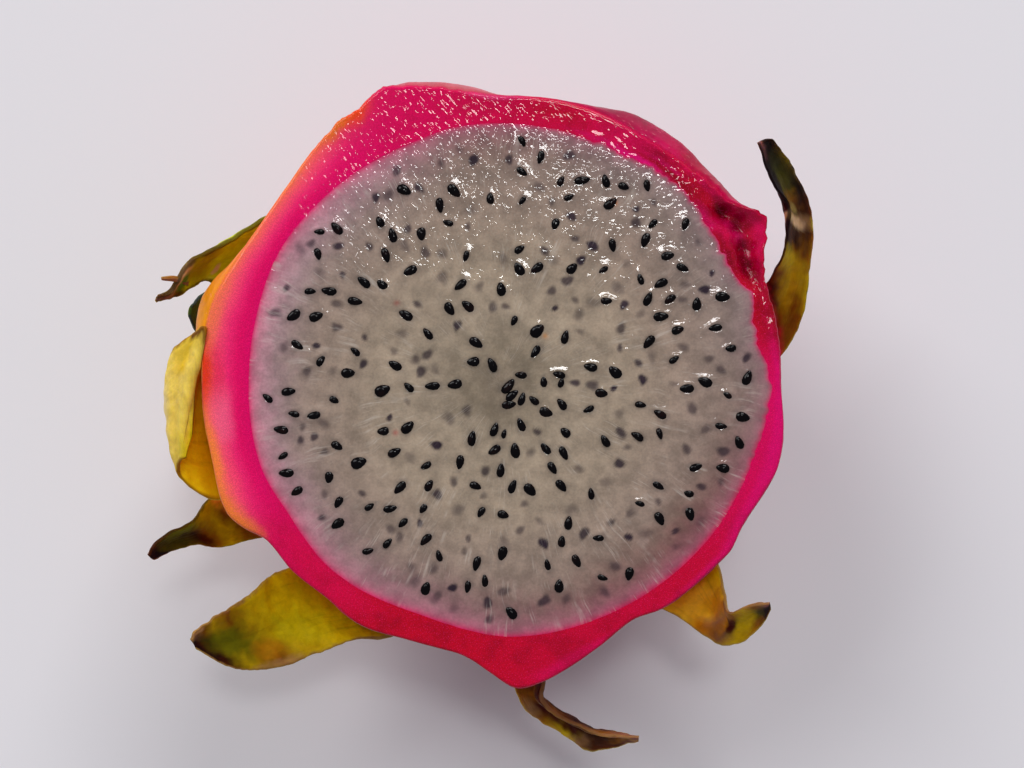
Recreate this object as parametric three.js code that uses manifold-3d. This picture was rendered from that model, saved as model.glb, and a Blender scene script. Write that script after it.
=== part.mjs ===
// Half a white-fleshed dragon fruit, cut crosswise, standing on its stem end with the cut face up.
// Millimetres, +Z up. The origin is the middle of the small flat spot that the half rests on.
// Directions round the fruit are degrees counter-clockwise from +X, seen from above.
import * as THREE from 'three';
import { mergeVertices } from 'three/addons/utils/BufferGeometryUtils.js';
import Module from 'manifold-3d';

const wasm = await Module();
wasm.setup();

// ---- driving dimensions -------------------------------------------------------------------------
const CUT_HEIGHT = 54; // cut face above the resting spot
const REST_RADIUS = 12; // flat spot round the stem scar
const MEAN_RADIUS = 43.5; // the round body that the uneven rim fades into
const RIM_FADE = 30; // how far below the cut the rim's own unevenness dies away
const FLESH_FLOOR = 9; // lowest point of the white flesh
const SKIN_GAP = 0.3; // between flesh and skin
const FULLNESS = 0.9; // below 1 the sides stand fuller than an ellipse
const SHOULDER_DEPTH = 16; // height of the skin that bulges out under the cut

// The cut edge of the skin: [direction, radius].
const SKIN_RIM = [
  [0, 43.6], [10, 43.9], [21, 44.1], [25, 45.3], [29, 47.3], [32, 48.7], [35, 47.3], [38, 45.8],
  [43, 45.0], [50, 44.4], [60, 44.2], [70, 44.7], [80, 44.8], [90, 44.6], [96, 45.4], [104, 47.4],
  [108, 48.5], [112, 49.2], [115, 48.7], [117.6, 47.9], [121, 47.9], [125, 47.1], [130, 46.2],
  [137, 45.1], [147, 44.6],
  [155, 45.2], [165, 46.3], [180, 46.2], [195, 46.3], [205, 47.0], [209, 45.9], [214, 43.7], [222, 43.5],
  [231, 42.9], [240, 43.4], [250, 42.4], [260, 42.4], [264, 43.2], [268, 45.0], [273, 47.4], [278, 46.9],
  [284, 45.4], [290, 43.9], [299, 42.2], [306, 43.2], [320, 43.9], [324, 44.3], [330, 43.7], [338, 44.5],
  [343, 45.1], [350, 44.7],
];

// How much further out the skin stands a little below the cut edge.
const SHOULDER = [
  [0, 0.2], [30, 0.3], [40, 2.0], [47, 2.9], [55, 3.7], [63, 3.6], [70, 2.5], [77, 1.2], [87, 1.0],
  [95, 2.1], [104, 2.3], [110, 1.6], [118, 0.3], [145, 0.4], [155, 1.6], [161, 3.2], [169, 3.4],
  [176, 2.0], [182, 0.6], [215, 0.2], [300, 0.2],
];

// The edge of the flesh on the cut face.
const FLESH_RIM = [
  [2, 41.7], [7, 40.3], [13, 40.2], [19, 41.2], [24, 40.0], [32, 39.8], [45, 40.7], [53, 40.8],
  [60, 40.0], [100, 40.0], [110, 39.4], [135, 39.4], [150, 39.5], [165, 38.9], [180, 38.7], [200, 39.0],
  [212, 38.3], [228, 38.7], [250, 37.7], [262, 38.3], [272, 39.1], [300, 39.4], [320, 40.0], [340, 40.6],
  [350, 41.2],
];

// Where the cut band is torn into a hollow: direction, half-angle, depth, and place across the band.
const TEAR = { at: 31, spread: 9, depth: 1.8, across: 0.6, width: 0.28 };

// The bracts near the cut. Each edge point is [direction, distance from the axis, height]; the rows run
// from the foot on the skin to the tip, the edge further clockwise first (seen from above).
// cup is how deep the blade is troughed on its inner side, thick its thickness at foot and tip.
const RIM_BRACTS = {
  forked: {
    cup: 0.5, thick: [2.2, 0.9], along: 11,
    rows: [
      [[146, 42.5, 36], [161, 43.0, 32]],
      [[143.5, 45.2, 41.5], [161.5, 47.6, 37]],
      [[148, 47.4, 43.5], [161, 50.2, 39.5]],
      [[153, 49.7, 45], [161.5, 51.5, 41]],
      [[157, 51.9, 46.5], [163, 52.6, 43]],
      [[159.8, 53.4, 46.8], [164.5, 53.3, 44]],
      [[164, 54.5, 46.4], [165.6, 54.8, 45]],
      [[165.8, 55.9, 48], [166.7, 56.2, 47.2]],
    ],
  },
  small: {
    cup: 0.8, thick: [2.2, 0.9], along: 7,
    rows: [
      [[156, 40.0, 14], [175, 40.0, 13]],
      [[157.5, 45.6, 21], [174.5, 46.0, 20]],
      [[160, 49.6, 28], [172.5, 50.0, 27]],
      [[163, 51.5, 33], [170.5, 51.8, 32]],
      [[166, 52.4, 36.5], [168, 52.5, 36]],
    ],
  },
  folded: {
    cup: 0, thick: [2.6, 0.9], along: 12,
    rows: [
      [[170.5, 43.0, 34], [202.5, 43.0, 29]],
      [[170, 46.6, 43.5], [203.2, 47.2, 40.5]],
      [[171.4, 48.6, 46.4], [201.8, 49.8, 44.8]],
      [[173.6, 50.6, 47.8], [198.6, 51.9, 46.6]],
      [[175.0, 52.2, 49.0], [196.2, 52.9, 47.7]],
      [[173.2, 51.0, 50.5], [194.4, 52.6, 49.0]],
      [[171.0, 48.5, 51.8], [193.8, 52.0, 49.6]],
      [[169.2, 46.3, 54.3], [193.7, 51.4, 50.4]],
      [[180.5, 47.5, 52.2], [193.6, 51.0, 50.9]],
      [[189.5, 48.8, 51.4], [193.5, 50.7, 51.1]],
    ],
  },
  spike: {
    cup: 1.2, thick: [2.6, 1.0], along: 10,
    rows: [
      [[203.5, 42.5, 23], [215, 42.0, 19]],
      [[200.8, 48.5, 31], [214, 46.0, 25.5]],
      [[202, 53.0, 34.5], [212, 50.0, 28.5]],
      [[204, 55.5, 38], [210, 54.5, 31.5]],
      [[204.5, 59.0, 40], [208, 56.8, 34.5]],
      [[205, 62.0, 41], [207, 60.8, 38]],
      [[206, 63.6, 41.2], [206.9, 63.4, 40.4]],
    ],
  },
  broad: {
    cup: 1.6, thick: [3.0, 0.9], along: 12,
    rows: [
      [[225, 42.0, 22], [246, 42.0, 22]],
      [[221.5, 46.5, 30], [247, 45.6, 29.5]],
      [[220, 50.2, 34], [240.5, 49.0, 33]],
      [[220, 53.8, 38], [236, 53.8, 34.5]],
      [[219.8, 57.5, 41], [232, 59.5, 36.5]],
      [[219, 60.5, 43], [228, 63.2, 39]],
      [[219, 63.0, 44], [223.5, 64.5, 41.5]],
      [[219.6, 64.4, 44.6], [221, 65.0, 43.2]],
    ],
  },
  dry: {
    cup: 1.8, thick: [2.4, 0.9], along: 12,
    rows: [
      [[268.5, 42.0, 26], [281, 42.0, 28]],
      [[272, 48.5, 31], [278.8, 48.0, 36]],
      [[273.8, 53.2, 32.5], [277.4, 52.4, 37.5]],
      [[276.4, 56.6, 32], [279.2, 54.5, 37.5]],
      [[280, 59.6, 33], [282.2, 56.9, 39]],
      [[283.4, 61.8, 36], [284.9, 58.5, 42]],
      [[287, 62.0, 39.8], [288, 59.5, 44.5]],
      [[291.2, 61.2, 45.2], [291.4, 60.4, 46.6]],
    ],
  },
  curled: {
    cup: 1.6, thick: [2.6, 0.9], along: 12,
    rows: [
      [[305.5, 41.5, 26], [319.5, 42.0, 27]],
      [[304.6, 44.6, 33], [320.5, 46.2, 35]],
      [[307, 48.0, 35.5], [317.5, 49.2, 38.5]],
      [[308.8, 52.0, 38], [315.5, 51.0, 42]],
      [[310.2, 55.5, 41], [315, 51.6, 46]],
      [[313.2, 57.0, 44], [317, 52.0, 50]],
      [[317.2, 56.4, 48], [319.4, 53.0, 52.5]],
      [[320.2, 55.0, 52.3], [320.6, 54.0, 53.5]],
    ],
  },
  long: {
    cup: 1.6, thick: [2.6, 0.9], along: 14,
    rows: [
      [[3.5, 42.5, 21], [20, 42.5, 28]],
      [[4.6, 46.4, 29.5], [20.5, 46.2, 38.5]],
      [[10.9, 50.1, 33], [22.5, 47.8, 43]],
      [[16.3, 52.5, 37], [25, 49.5, 47]],
      [[21.3, 53.9, 41], [27.6, 51.2, 50]],
      [[27.0, 55.8, 44], [30.2, 52.3, 52.5]],
      [[31.7, 56.9, 48], [33.6, 52.2, 54.5]],
      [[37.2, 56.6, 53], [38.4, 52.6, 57]],
      [[41.8, 55.8, 58.6], [42.9, 53.5, 60]],
    ],
  },
};

// A small second prong where the forked bract has dried and split.
const PRONG = {
  cup: 0, thick: [1.1, 0.8], along: 4, rooted: false,
  rows: [
    [[161.4, 53.0, 44.5], [162.8, 52.9, 43.9]],
    [[162.0, 54.8, 47.4], [162.8, 54.6, 47.0]],
    [[162.6, 56.1, 48.6], [163.1, 55.9, 48.4]],
  ],
};

// The smaller bracts towards the stem follow the fruit's spiral, wherever no larger foot takes the place.
const SPIRAL = {
  count: 12, turn: 137.5, start: 35, lowest: 6, highest: 27, shortest: 9, longest: 18, slender: 0.5,
  lean: 3.4, clearance: 12, thick: [2.4, 0.9], cup: 0.8,
};
const BRACT_ROOT = 3; // how deep, and how far down, each foot is sunk in the skin
const BRACT_ACROSS = 4; // facets across each blade
const THINNEST = 0.7; // no blade is thinner than this
const SWELLING = { height: 2.4, run: 17, overlap: 4 }; // the skin's ramp up to each bract

// The seeds that stand in the cut face: a tight cluster near the middle, and the rest by seeded draws.
const SEEDS = {
  count: 174, draw: 2718, long: [1.8, 2.7], slim: 0.6, taper: 0.28, proud: 0.4, sunk: 0.6,
  margin: 2.4, spacing: 2.7, sides: 6,
};
// A few of the seeds are set by hand: x, y, direction pointed in, length.
const MIDDLE_CLUSTER = [
  [1.3, -0.5, 50, 2.9], [1.8, -1.9, 40, 2.6], [1.4, -3.4, 10, 2.5], [3.4, -2.5, 70, 2.3], [5.2, -2.7, 140, 2.0],
  [3.3, 1.2, 170, 2.1], [6.8, 0.2, 95, 1.9], [9.1, 1.3, 165, 2.2], [9.5, 0.0, 75, 1.7], [9.6, -3.3, 125, 2.2],
  [-0.8, -7.2, 70, 2.4], [0.6, -7.9, 75, 1.7], [2.3, -10.5, 95, 2.6],
];

// Facets
const SKIN_SIDES = 120;
const FLESH_SIDES = 72;
const SKIN_RINGS = 14;
const FLESH_RINGS = 8;

// ---- small helpers ------------------------------------------------------------------------------
const radians = THREE.MathUtils.degToRad;
const clamp01 = (x) => Math.min(1, Math.max(0, x));
const smooth = (x) => {
  const t = clamp01(x);
  return t * t * (3 - 2 * t);
};
const turnBetween = (a, b) => ((a - b + 540) % 360) - 180;
const polar = (deg, r, z) => new THREE.Vector3(r * Math.cos(radians(deg)), r * Math.sin(radians(deg)), z);

/** Reads a closed outline of [direction, value] points with a smooth curve through them. */
function readAround(outline, deg) {
  const n = outline.length;
  const at = ((deg % 360) + 360) % 360;
  let i = outline.findIndex(([d]) => d > at) - 1;
  if (i === -2) i = n - 1;
  const point = (k) => {
    const lap = Math.floor(k / n);
    const [d, v] = outline[k - lap * n];
    return [d + 360 * lap, v];
  };
  const [p0, p1, p2, p3] = [point(i - 1), point(i), point(i + 1), point(i + 2)];
  const here = at < p1[0] ? at + 360 : at;
  const span = p2[0] - p1[0];
  const t = (here - p1[0]) / span;
  const slope1 = ((p2[1] - p0[1]) / (p2[0] - p0[0])) * span;
  const slope2 = ((p3[1] - p1[1]) / (p3[0] - p1[0])) * span;
  const [t2, t3] = [t * t, t * t * t];
  return (2 * t3 - 3 * t2 + 1) * p1[1] + (t3 - 2 * t2 + t) * slope1 + (3 * t2 - 2 * t3) * p2[1] + (t3 - t2) * slope2;
}

/** A repeatable stream of numbers between 0 and 1. */
function drawStream(start) {
  let state = start;
  return () => {
    state = (state * 16807) % 2147483647;
    return state / 2147483647;
  };
}

// ---- meshes -------------------------------------------------------------------------------------
function geometryOf(points, faces) {
  const geometry = new THREE.BufferGeometry();
  geometry.setAttribute('position', new THREE.Float32BufferAttribute(points.flatMap((p) => p.toArray()), 3));
  geometry.setIndex(faces.flat());
  return geometry;
}

/** A closed body from level rings, bottom first, with a point at each end. */
function ringBody(bottom, rings, top) {
  const sides = rings[0].length;
  const points = [bottom, ...rings.flat(), top];
  const at = (ring, side) => 1 + ring * sides + (side % sides);
  const faces = [];
  for (let s = 0; s < sides; s += 1) {
    faces.push([0, at(0, s + 1), at(0, s)]);
    for (let k = 0; k < rings.length - 1; k += 1) {
      faces.push([at(k, s), at(k, s + 1), at(k + 1, s + 1)], [at(k, s), at(k + 1, s + 1), at(k + 1, s)]);
    }
    faces.push([at(rings.length - 1, s), at(rings.length - 1, s + 1), points.length - 1]);
  }
  return geometryOf(points, faces);
}

function solidOf(geometry) {
  const merged = mergeVertices(geometry, 1e-4);
  return new wasm.Manifold(new wasm.Mesh({
    numProp: 3,
    vertProperties: new Float32Array(merged.attributes.position.array),
    triVerts: new Uint32Array(merged.index.array),
  }));
}

function geometryFrom(solid) {
  const mesh = solid.getMesh();
  const geometry = new THREE.BufferGeometry();
  geometry.setAttribute('position', new THREE.BufferAttribute(mesh.vertProperties, 3));
  geometry.setIndex(new THREE.BufferAttribute(mesh.triVerts, 1));
  return geometry;
}

// ---- the skin's outer form ----------------------------------------------------------------------
/** The bare body's radius at a height, before any swelling. */
function bodyRadius(deg, z) {
  const cosine = (1 - clamp01(z / CUT_HEIGHT)) ** (1 / FULLNESS);
  const side = Math.sqrt(1 - cosine * cosine) ** FULLNESS;
  const fade = smooth(1 - (CUT_HEIGHT - z) / RIM_FADE);
  const rim = MEAN_RADIUS + (readAround(SKIN_RIM, deg) - MEAN_RADIUS) * fade;
  const shoulder = readAround(SHOULDER, deg) * Math.sin(Math.PI * clamp01((CUT_HEIGHT - z) / SHOULDER_DEPTH));
  return REST_RADIUS + (rim - REST_RADIUS) * side + shoulder;
}

const rimFeet = Object.values(RIM_BRACTS).map(({ rows: [[left, right]] }) => ({
  deg: (left[0] + right[0]) / 2,
  spread: Math.abs(left[0] - right[0]) / 2,
  foot: (left[2] + right[2]) / 2,
}));

function spiralFeet() {
  const found = [];
  for (let k = 0; k < SPIRAL.count; k += 1) {
    const step = k / (SPIRAL.count - 1);
    const deg = (SPIRAL.start + SPIRAL.turn * k) % 360;
    const foot = THREE.MathUtils.lerp(SPIRAL.lowest, SPIRAL.highest, step);
    const length = THREE.MathUtils.lerp(SPIRAL.shortest, SPIRAL.longest, step);
    const spread = THREE.MathUtils.radToDeg((length * SPIRAL.slender) / bodyRadius(deg, foot));
    const taken = rimFeet.some((other) => Math.abs(turnBetween(deg, other.deg)) < spread + other.spread
      && Math.abs(foot - other.foot) < SPIRAL.clearance);
    if (!taken) found.push({ deg, foot, length, spread });
  }
  return found;
}

const smallFeet = spiralFeet();
const feet = [...rimFeet, ...smallFeet];

/** The skin ramps up to the foot of each bract and drops back above it. */
function swelling(deg, z) {
  let most = 0;
  for (const { deg: at, spread, foot } of feet) {
    const across = Math.exp(-((turnBetween(deg, at) / spread) ** 2) * 1.6);
    const below = smooth(1 - (foot - z) / Math.min(SWELLING.run, foot));
    const above = smooth(1 - (z - foot) / SWELLING.overlap);
    most = Math.max(most, across * Math.min(below, above));
  }
  return SWELLING.height * most;
}

const skinRadius = (deg, z) => bodyRadius(deg, z) + swelling(deg, z);

/** Height of the cut band: level, but for the torn hollow. across runs from the flesh, 0, to the skin, 1. */
function rimHeight(deg, across) {
  const round = Math.exp(-((turnBetween(deg, TEAR.at) / TEAR.spread) ** 2));
  const band = Math.exp(-(((across - TEAR.across) / TEAR.width) ** 2));
  return CUT_HEIGHT - TEAR.depth * round * band;
}

function skinBody() {
  const directions = Array.from({ length: SKIN_SIDES }, (_, s) => (360 * s) / SKIN_SIDES);
  const rings = [];
  for (let k = 0; k < SKIN_RINGS; k += 1) {
    const rise = (Math.PI / 2) * (k / SKIN_RINGS);
    const z = CUT_HEIGHT * (1 - Math.cos(rise) ** FULLNESS);
    rings.push(directions.map((deg) => (k === 0 ? polar(deg, REST_RADIUS, 0) : polar(deg, skinRadius(deg, z), z))));
  }
  for (const across of [1, 0.8, 0.55, 0.3, 0]) {
    rings.push(directions.map((deg) => {
      const inner = readAround(FLESH_RIM, deg);
      const r = THREE.MathUtils.lerp(inner, readAround(SKIN_RIM, deg), across);
      return polar(deg, r, rimHeight(deg, across));
    }));
  }
  return solidOf(ringBody(new THREE.Vector3(0, 0, 0), rings, new THREE.Vector3(0, 0, CUT_HEIGHT)));
}

// ---- the flesh plug -----------------------------------------------------------------------------
/** The flesh's rounded plug, grown outwards by a clearance. lift carries its top past the cut face. */
function fleshBody(clearance, lift) {
  const directions = Array.from({ length: FLESH_SIDES }, (_, s) => (360 * s) / FLESH_SIDES);
  const depth = CUT_HEIGHT - FLESH_FLOOR;
  const rings = [];
  for (let k = 1; k <= FLESH_RINGS; k += 1) {
    const rise = (Math.PI / 2) * (k / FLESH_RINGS);
    const z = CUT_HEIGHT - depth * Math.cos(rise) ** FULLNESS - clearance * Math.cos(rise);
    const share = Math.sin(rise) ** FULLNESS;
    rings.push(directions.map((deg) => polar(deg, readAround(FLESH_RIM, deg) * share + clearance, z)));
  }
  const topRing = rings[rings.length - 1];
  if (lift > 0) rings.push(topRing.map((p) => new THREE.Vector3(p.x, p.y, CUT_HEIGHT + lift)));
  const bottom = new THREE.Vector3(0, 0, FLESH_FLOOR - clearance);
  return solidOf(ringBody(bottom, rings, new THREE.Vector3(0, 0, CUT_HEIGHT + lift)));
}

// ---- bracts -------------------------------------------------------------------------------------
/** A closed blade between two edge lines, troughed across and sunk in the skin at its foot. */
function blade({ rows, cup, thick, along, rooted = true }) {
  const root = rows[0].map(([deg, r, z]) => [deg, Math.min(r, skinRadius(deg, z)) - BRACT_ROOT, z - BRACT_ROOT]);
  const edges = [0, 1].map((side) => new THREE.CatmullRomCurve3(
    (rooted ? [root, ...rows] : rows).map((row) => polar(...row[side])),
    false,
    'centripetal',
  ));
  const middle = [];
  for (let i = 0; i <= along; i += 1) {
    const [left, right] = edges.map((edge) => edge.getPoint(i / along));
    const [leftTurn, rightTurn] = [left, right].map((p) => THREE.MathUtils.radToDeg(Math.atan2(p.y, p.x)));
    const turn = turnBetween(rightTurn, leftTurn);
    const line = [];
    for (let j = 0; j <= BRACT_ACROSS; j += 1) {
      const v = j / BRACT_ACROSS;
      const r = THREE.MathUtils.lerp(Math.hypot(left.x, left.y), Math.hypot(right.x, right.y), v);
      line.push(polar(leftTurn + turn * v, r, THREE.MathUtils.lerp(left.z, right.z, v)));
    }
    middle.push(line);
  }
  const facing = middle.map((line, i) => line.map((_, j) => {
    const ahead = middle[Math.min(i + 1, along)][j].clone().sub(middle[Math.max(i - 1, 0)][j]);
    const aside = line[Math.min(j + 1, BRACT_ACROSS)].clone().sub(line[Math.max(j - 1, 0)]);
    return ahead.cross(aside).normalize();
  }));
  const faceOf = (side) => middle.map((line, i) => line.map((p, j) => {
    const v = (2 * j) / BRACT_ACROSS - 1;
    const width = line[0].distanceTo(line[BRACT_ACROSS]);
    const trough = -cup * (1 - v * v) * smooth(width / 10);
    const full = THREE.MathUtils.lerp(thick[0], thick[1], Math.sqrt(i / along));
    const half = Math.max(THINNEST, full * (1 - 0.45 * v * v)) / 2;
    return p.clone().addScaledVector(facing[i][j], trough + side * half);
  }));
  return sheetBody(faceOf(1), faceOf(-1));
}

/** Joins two matching sheets of points into one closed body, both split into triangles alike. */
function sheetBody(upper, lower) {
  const [rows, columns] = [upper.length, upper[0].length];
  const at = (sheet, i, j) => sheet * rows * columns + i * columns + j;
  const faces = [];
  for (let i = 0; i < rows - 1; i += 1) {
    for (let j = 0; j < columns - 1; j += 1) {
      const [a, b, c, d] = [[i, j], [i + 1, j], [i + 1, j + 1], [i, j + 1]];
      faces.push([at(0, ...a), at(0, ...b), at(0, ...c)], [at(0, ...a), at(0, ...c), at(0, ...d)]);
      faces.push([at(1, ...a), at(1, ...c), at(1, ...b)], [at(1, ...a), at(1, ...d), at(1, ...c)]);
    }
  }
  const border = [];
  for (let j = 0; j < columns - 1; j += 1) border.push([0, j]);
  for (let i = 0; i < rows - 1; i += 1) border.push([i, columns - 1]);
  for (let j = columns - 1; j > 0; j -= 1) border.push([rows - 1, j]);
  for (let i = rows - 1; i > 0; i -= 1) border.push([i, 0]);
  border.forEach((a, k) => {
    const b = border[(k + 1) % border.length];
    faces.push([at(0, ...a), at(0, ...b), at(1, ...b)], [at(0, ...a), at(1, ...b), at(1, ...a)]);
  });
  const points = [...upper.flat(), ...lower.flat()];
  const solid = solidOf(geometryOf(points, faces));
  return solid.volume() > 0 ? solid : solidOf(geometryOf(points, faces.map(([a, b, c]) => [a, c, b])));
}

/** A small pointed bract that lies close along the skin and stays within the outline of the rim. */
function spiralBract({ deg, foot, length }) {
  const rows = [0, 0.3, 0.65, 1].map((u) => {
    const z = foot + length * u;
    const skin = skinRadius(deg, z);
    const r = Math.max(skin + 0.8, Math.min(skin + SPIRAL.lean * u ** 1.3 + 0.8, readAround(SKIN_RIM, deg)));
    const halfWidth = Math.max(0.5, length * SPIRAL.slender * (1 - u ** 1.7));
    const spread = THREE.MathUtils.radToDeg(halfWidth / r);
    return [[deg - spread, u === 0 ? skin : r, z], [deg + spread, u === 0 ? skin : r, z]];
  });
  return blade({ rows, cup: SPIRAL.cup, thick: SPIRAL.thick, along: 5 });
}

// ---- seeds --------------------------------------------------------------------------------------
/** Where the seeds stand on the cut face: x, y, pointing direction and length. */
function seedPlaces() {
  const draw = drawStream(SEEDS.draw);
  const length = () => THREE.MathUtils.lerp(...SEEDS.long, draw());
  const places = MIDDLE_CLUSTER.map(([x, y, deg, long]) => ({ x, y, deg, long }));
  while (places.length < SEEDS.count) {
    const deg = 360 * draw();
    const r = (readAround(FLESH_RIM, deg) - SEEDS.margin) * Math.sqrt(draw());
    const lie = deg + 180 * (draw() - 0.5) * draw() + (draw() < 0.5 ? 0 : 180);
    const [x, y] = [r * Math.cos(radians(deg)), r * Math.sin(radians(deg))];
    const clear = places.every((p) => Math.hypot(p.x - x, p.y - y) > SEEDS.spacing);
    if (clear) places.push({ x, y, deg: lie, long: length() });
  }
  return places;
}

/** A seed is a flat drop, round at one end and pointed at the other, half sunk in the flesh. */
function seedSolid({ x, y, deg, long }) {
  const outline = Array.from({ length: SEEDS.sides }, (_, s) => {
    const a = (2 * Math.PI * s) / SEEDS.sides;
    const taper = 1 - SEEDS.taper * Math.cos(a);
    return new THREE.Vector3((long / 2) * Math.cos(a), (long / 2) * SEEDS.slim * Math.sin(a) * taper, 0);
  });
  const place = new THREE.Matrix4().makeRotationZ(radians(deg)).setPosition(x, y, CUT_HEIGHT);
  const ring = outline.map((p) => p.applyMatrix4(place));
  const back = new THREE.Vector3(-long * 0.1, 0, SEEDS.proud).applyMatrix4(place);
  const belly = new THREE.Vector3(0, 0, -SEEDS.sunk).applyMatrix4(place);
  const lowered = ring.map((p) => p.clone().setZ(CUT_HEIGHT - 0.1));
  return solidOf(ringBody(belly, [lowered], back));
}

// ---- the two pieces -----------------------------------------------------------------------------
function peelGeometry() {
  const bracts = [...Object.values(RIM_BRACTS), PRONG].map(blade);
  const grown = wasm.Manifold.union([skinBody(), ...bracts, ...smallFeet.map(spiralBract)]);
  return geometryFrom(grown.subtract(fleshBody(SKIN_GAP, 8)));
}

function fleshGeometry() {
  return geometryFrom(wasm.Manifold.union([fleshBody(0, 0), ...seedPlaces().map(seedSolid)]));
}

function piece(name, geometry, finish) {
  const mesh = new THREE.Mesh(geometry, new THREE.MeshStandardMaterial(finish));
  mesh.name = name;
  return mesh;
}

const dragonFruit = new THREE.Group();
dragonFruit.add(piece('peel', peelGeometry(), { color: 0xd3075a, roughness: 0.45, metalness: 0 }));
dragonFruit.add(piece('flesh', fleshGeometry(), { color: 0xcfc4c0, roughness: 0.25, metalness: 0 }));

export default dragonFruit;
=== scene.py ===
"""Half a white-fleshed dragon fruit, cut crosswise, standing on its stem end with the cut face up.

Shapes are worked out in millimetres and turned into metres when a piece is finished. Directions round
the fruit are degrees counter-clockwise from +X, seen from above.
"""

import math

import bmesh
import bpy
import numpy as np
from mathutils import Matrix, Vector, noise


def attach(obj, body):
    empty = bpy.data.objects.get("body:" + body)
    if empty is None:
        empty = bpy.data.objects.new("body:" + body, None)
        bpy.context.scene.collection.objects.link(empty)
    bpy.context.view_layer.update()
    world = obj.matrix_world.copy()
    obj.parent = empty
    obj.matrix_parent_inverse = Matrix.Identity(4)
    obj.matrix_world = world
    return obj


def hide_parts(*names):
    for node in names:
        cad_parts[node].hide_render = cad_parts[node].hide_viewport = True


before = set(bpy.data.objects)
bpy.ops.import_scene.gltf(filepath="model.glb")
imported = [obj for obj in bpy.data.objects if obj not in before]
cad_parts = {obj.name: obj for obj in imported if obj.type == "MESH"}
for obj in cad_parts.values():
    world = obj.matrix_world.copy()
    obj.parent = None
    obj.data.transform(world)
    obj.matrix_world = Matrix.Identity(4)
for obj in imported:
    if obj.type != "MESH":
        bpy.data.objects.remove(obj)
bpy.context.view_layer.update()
scene = bpy.context.scene
MM = 0.001

# ---- camera -------------------------------------------------------------------------------------
camera = bpy.data.objects.new("camera", bpy.data.cameras.new("camera"))
camera.data.sensor_width = 36
camera.data.lens = 63.5
camera.data.clip_start = 0.01
camera.location = (0.00186, -0.000155, 0.334)
scene.collection.objects.link(camera)
scene.camera = camera

# ---- driving dimensions, the same as the solid part's -------------------------------------------
CUT_HEIGHT = 54
REST_RADIUS = 12
MEAN_RADIUS = 43.5
RIM_FADE = 30
FLESH_FLOOR = 9
SKIN_GAP = 0.3
FULLNESS = 0.9
SHOULDER_DEPTH = 16

# The cut edge of the skin: [direction, radius].
SKIN_RIM = [
    [0, 43.6], [10, 43.9], [21, 44.1], [25, 45.3], [29, 47.3], [32, 48.7], [35, 47.3], [38, 45.8],
    [43, 45.0], [50, 44.4], [60, 44.2], [70, 44.7], [80, 44.8], [90, 44.6], [96, 45.4], [104, 47.4],
    [108, 48.5], [112, 49.2], [115, 48.7], [117.6, 47.9], [121, 47.9], [125, 47.1], [130, 46.2], [137, 45.1],
    [147, 44.6], [155, 45.2], [165, 46.3], [180, 46.2], [195, 46.3], [205, 47.0], [209, 45.9], [214, 43.7],
    [222, 43.5], [231, 42.9], [240, 43.4], [250, 42.4], [260, 42.4], [264, 43.2], [268, 45.0], [273, 47.4],
    [278, 46.9], [284, 45.4], [290, 43.9], [299, 42.2], [306, 43.2], [320, 43.9], [324, 44.3], [330, 43.7],
    [338, 44.5], [343, 45.1], [350, 44.7],
]

# How much further out the skin stands a little below the cut edge.
SHOULDER = [
    [0, 0.2], [30, 0.3], [40, 2.0], [47, 2.9], [55, 3.7], [63, 3.6], [70, 2.5], [77, 1.2], [87, 1.0],
    [95, 2.1], [104, 2.3], [110, 1.6], [118, 0.3], [145, 0.4], [155, 1.6], [161, 3.2], [169, 3.4],
    [176, 2.0], [182, 0.6], [215, 0.2], [300, 0.2],
]

# The edge of the flesh on the cut face.
FLESH_RIM = [
    [2, 41.7], [7, 40.3], [13, 40.2], [19, 41.2], [24, 40.0], [32, 39.8], [45, 40.7], [53, 40.8], [60, 40.0],
    [100, 40.0], [110, 39.4], [135, 39.4], [150, 39.5], [165, 38.9], [180, 38.7], [200, 39.0], [212, 38.3],
    [228, 38.7], [250, 37.7], [262, 38.3], [272, 39.1], [300, 39.4], [320, 40.0], [340, 40.6], [350, 41.2],
]

# Where the cut band is torn into a hollow: its direction and half-angle, its depth, and its place and width
# as shares of the way across the band.
TEAR = {"at": 31, "spread": 9, "depth": 1.8, "across": 0.6, "width": 0.28}

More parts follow.
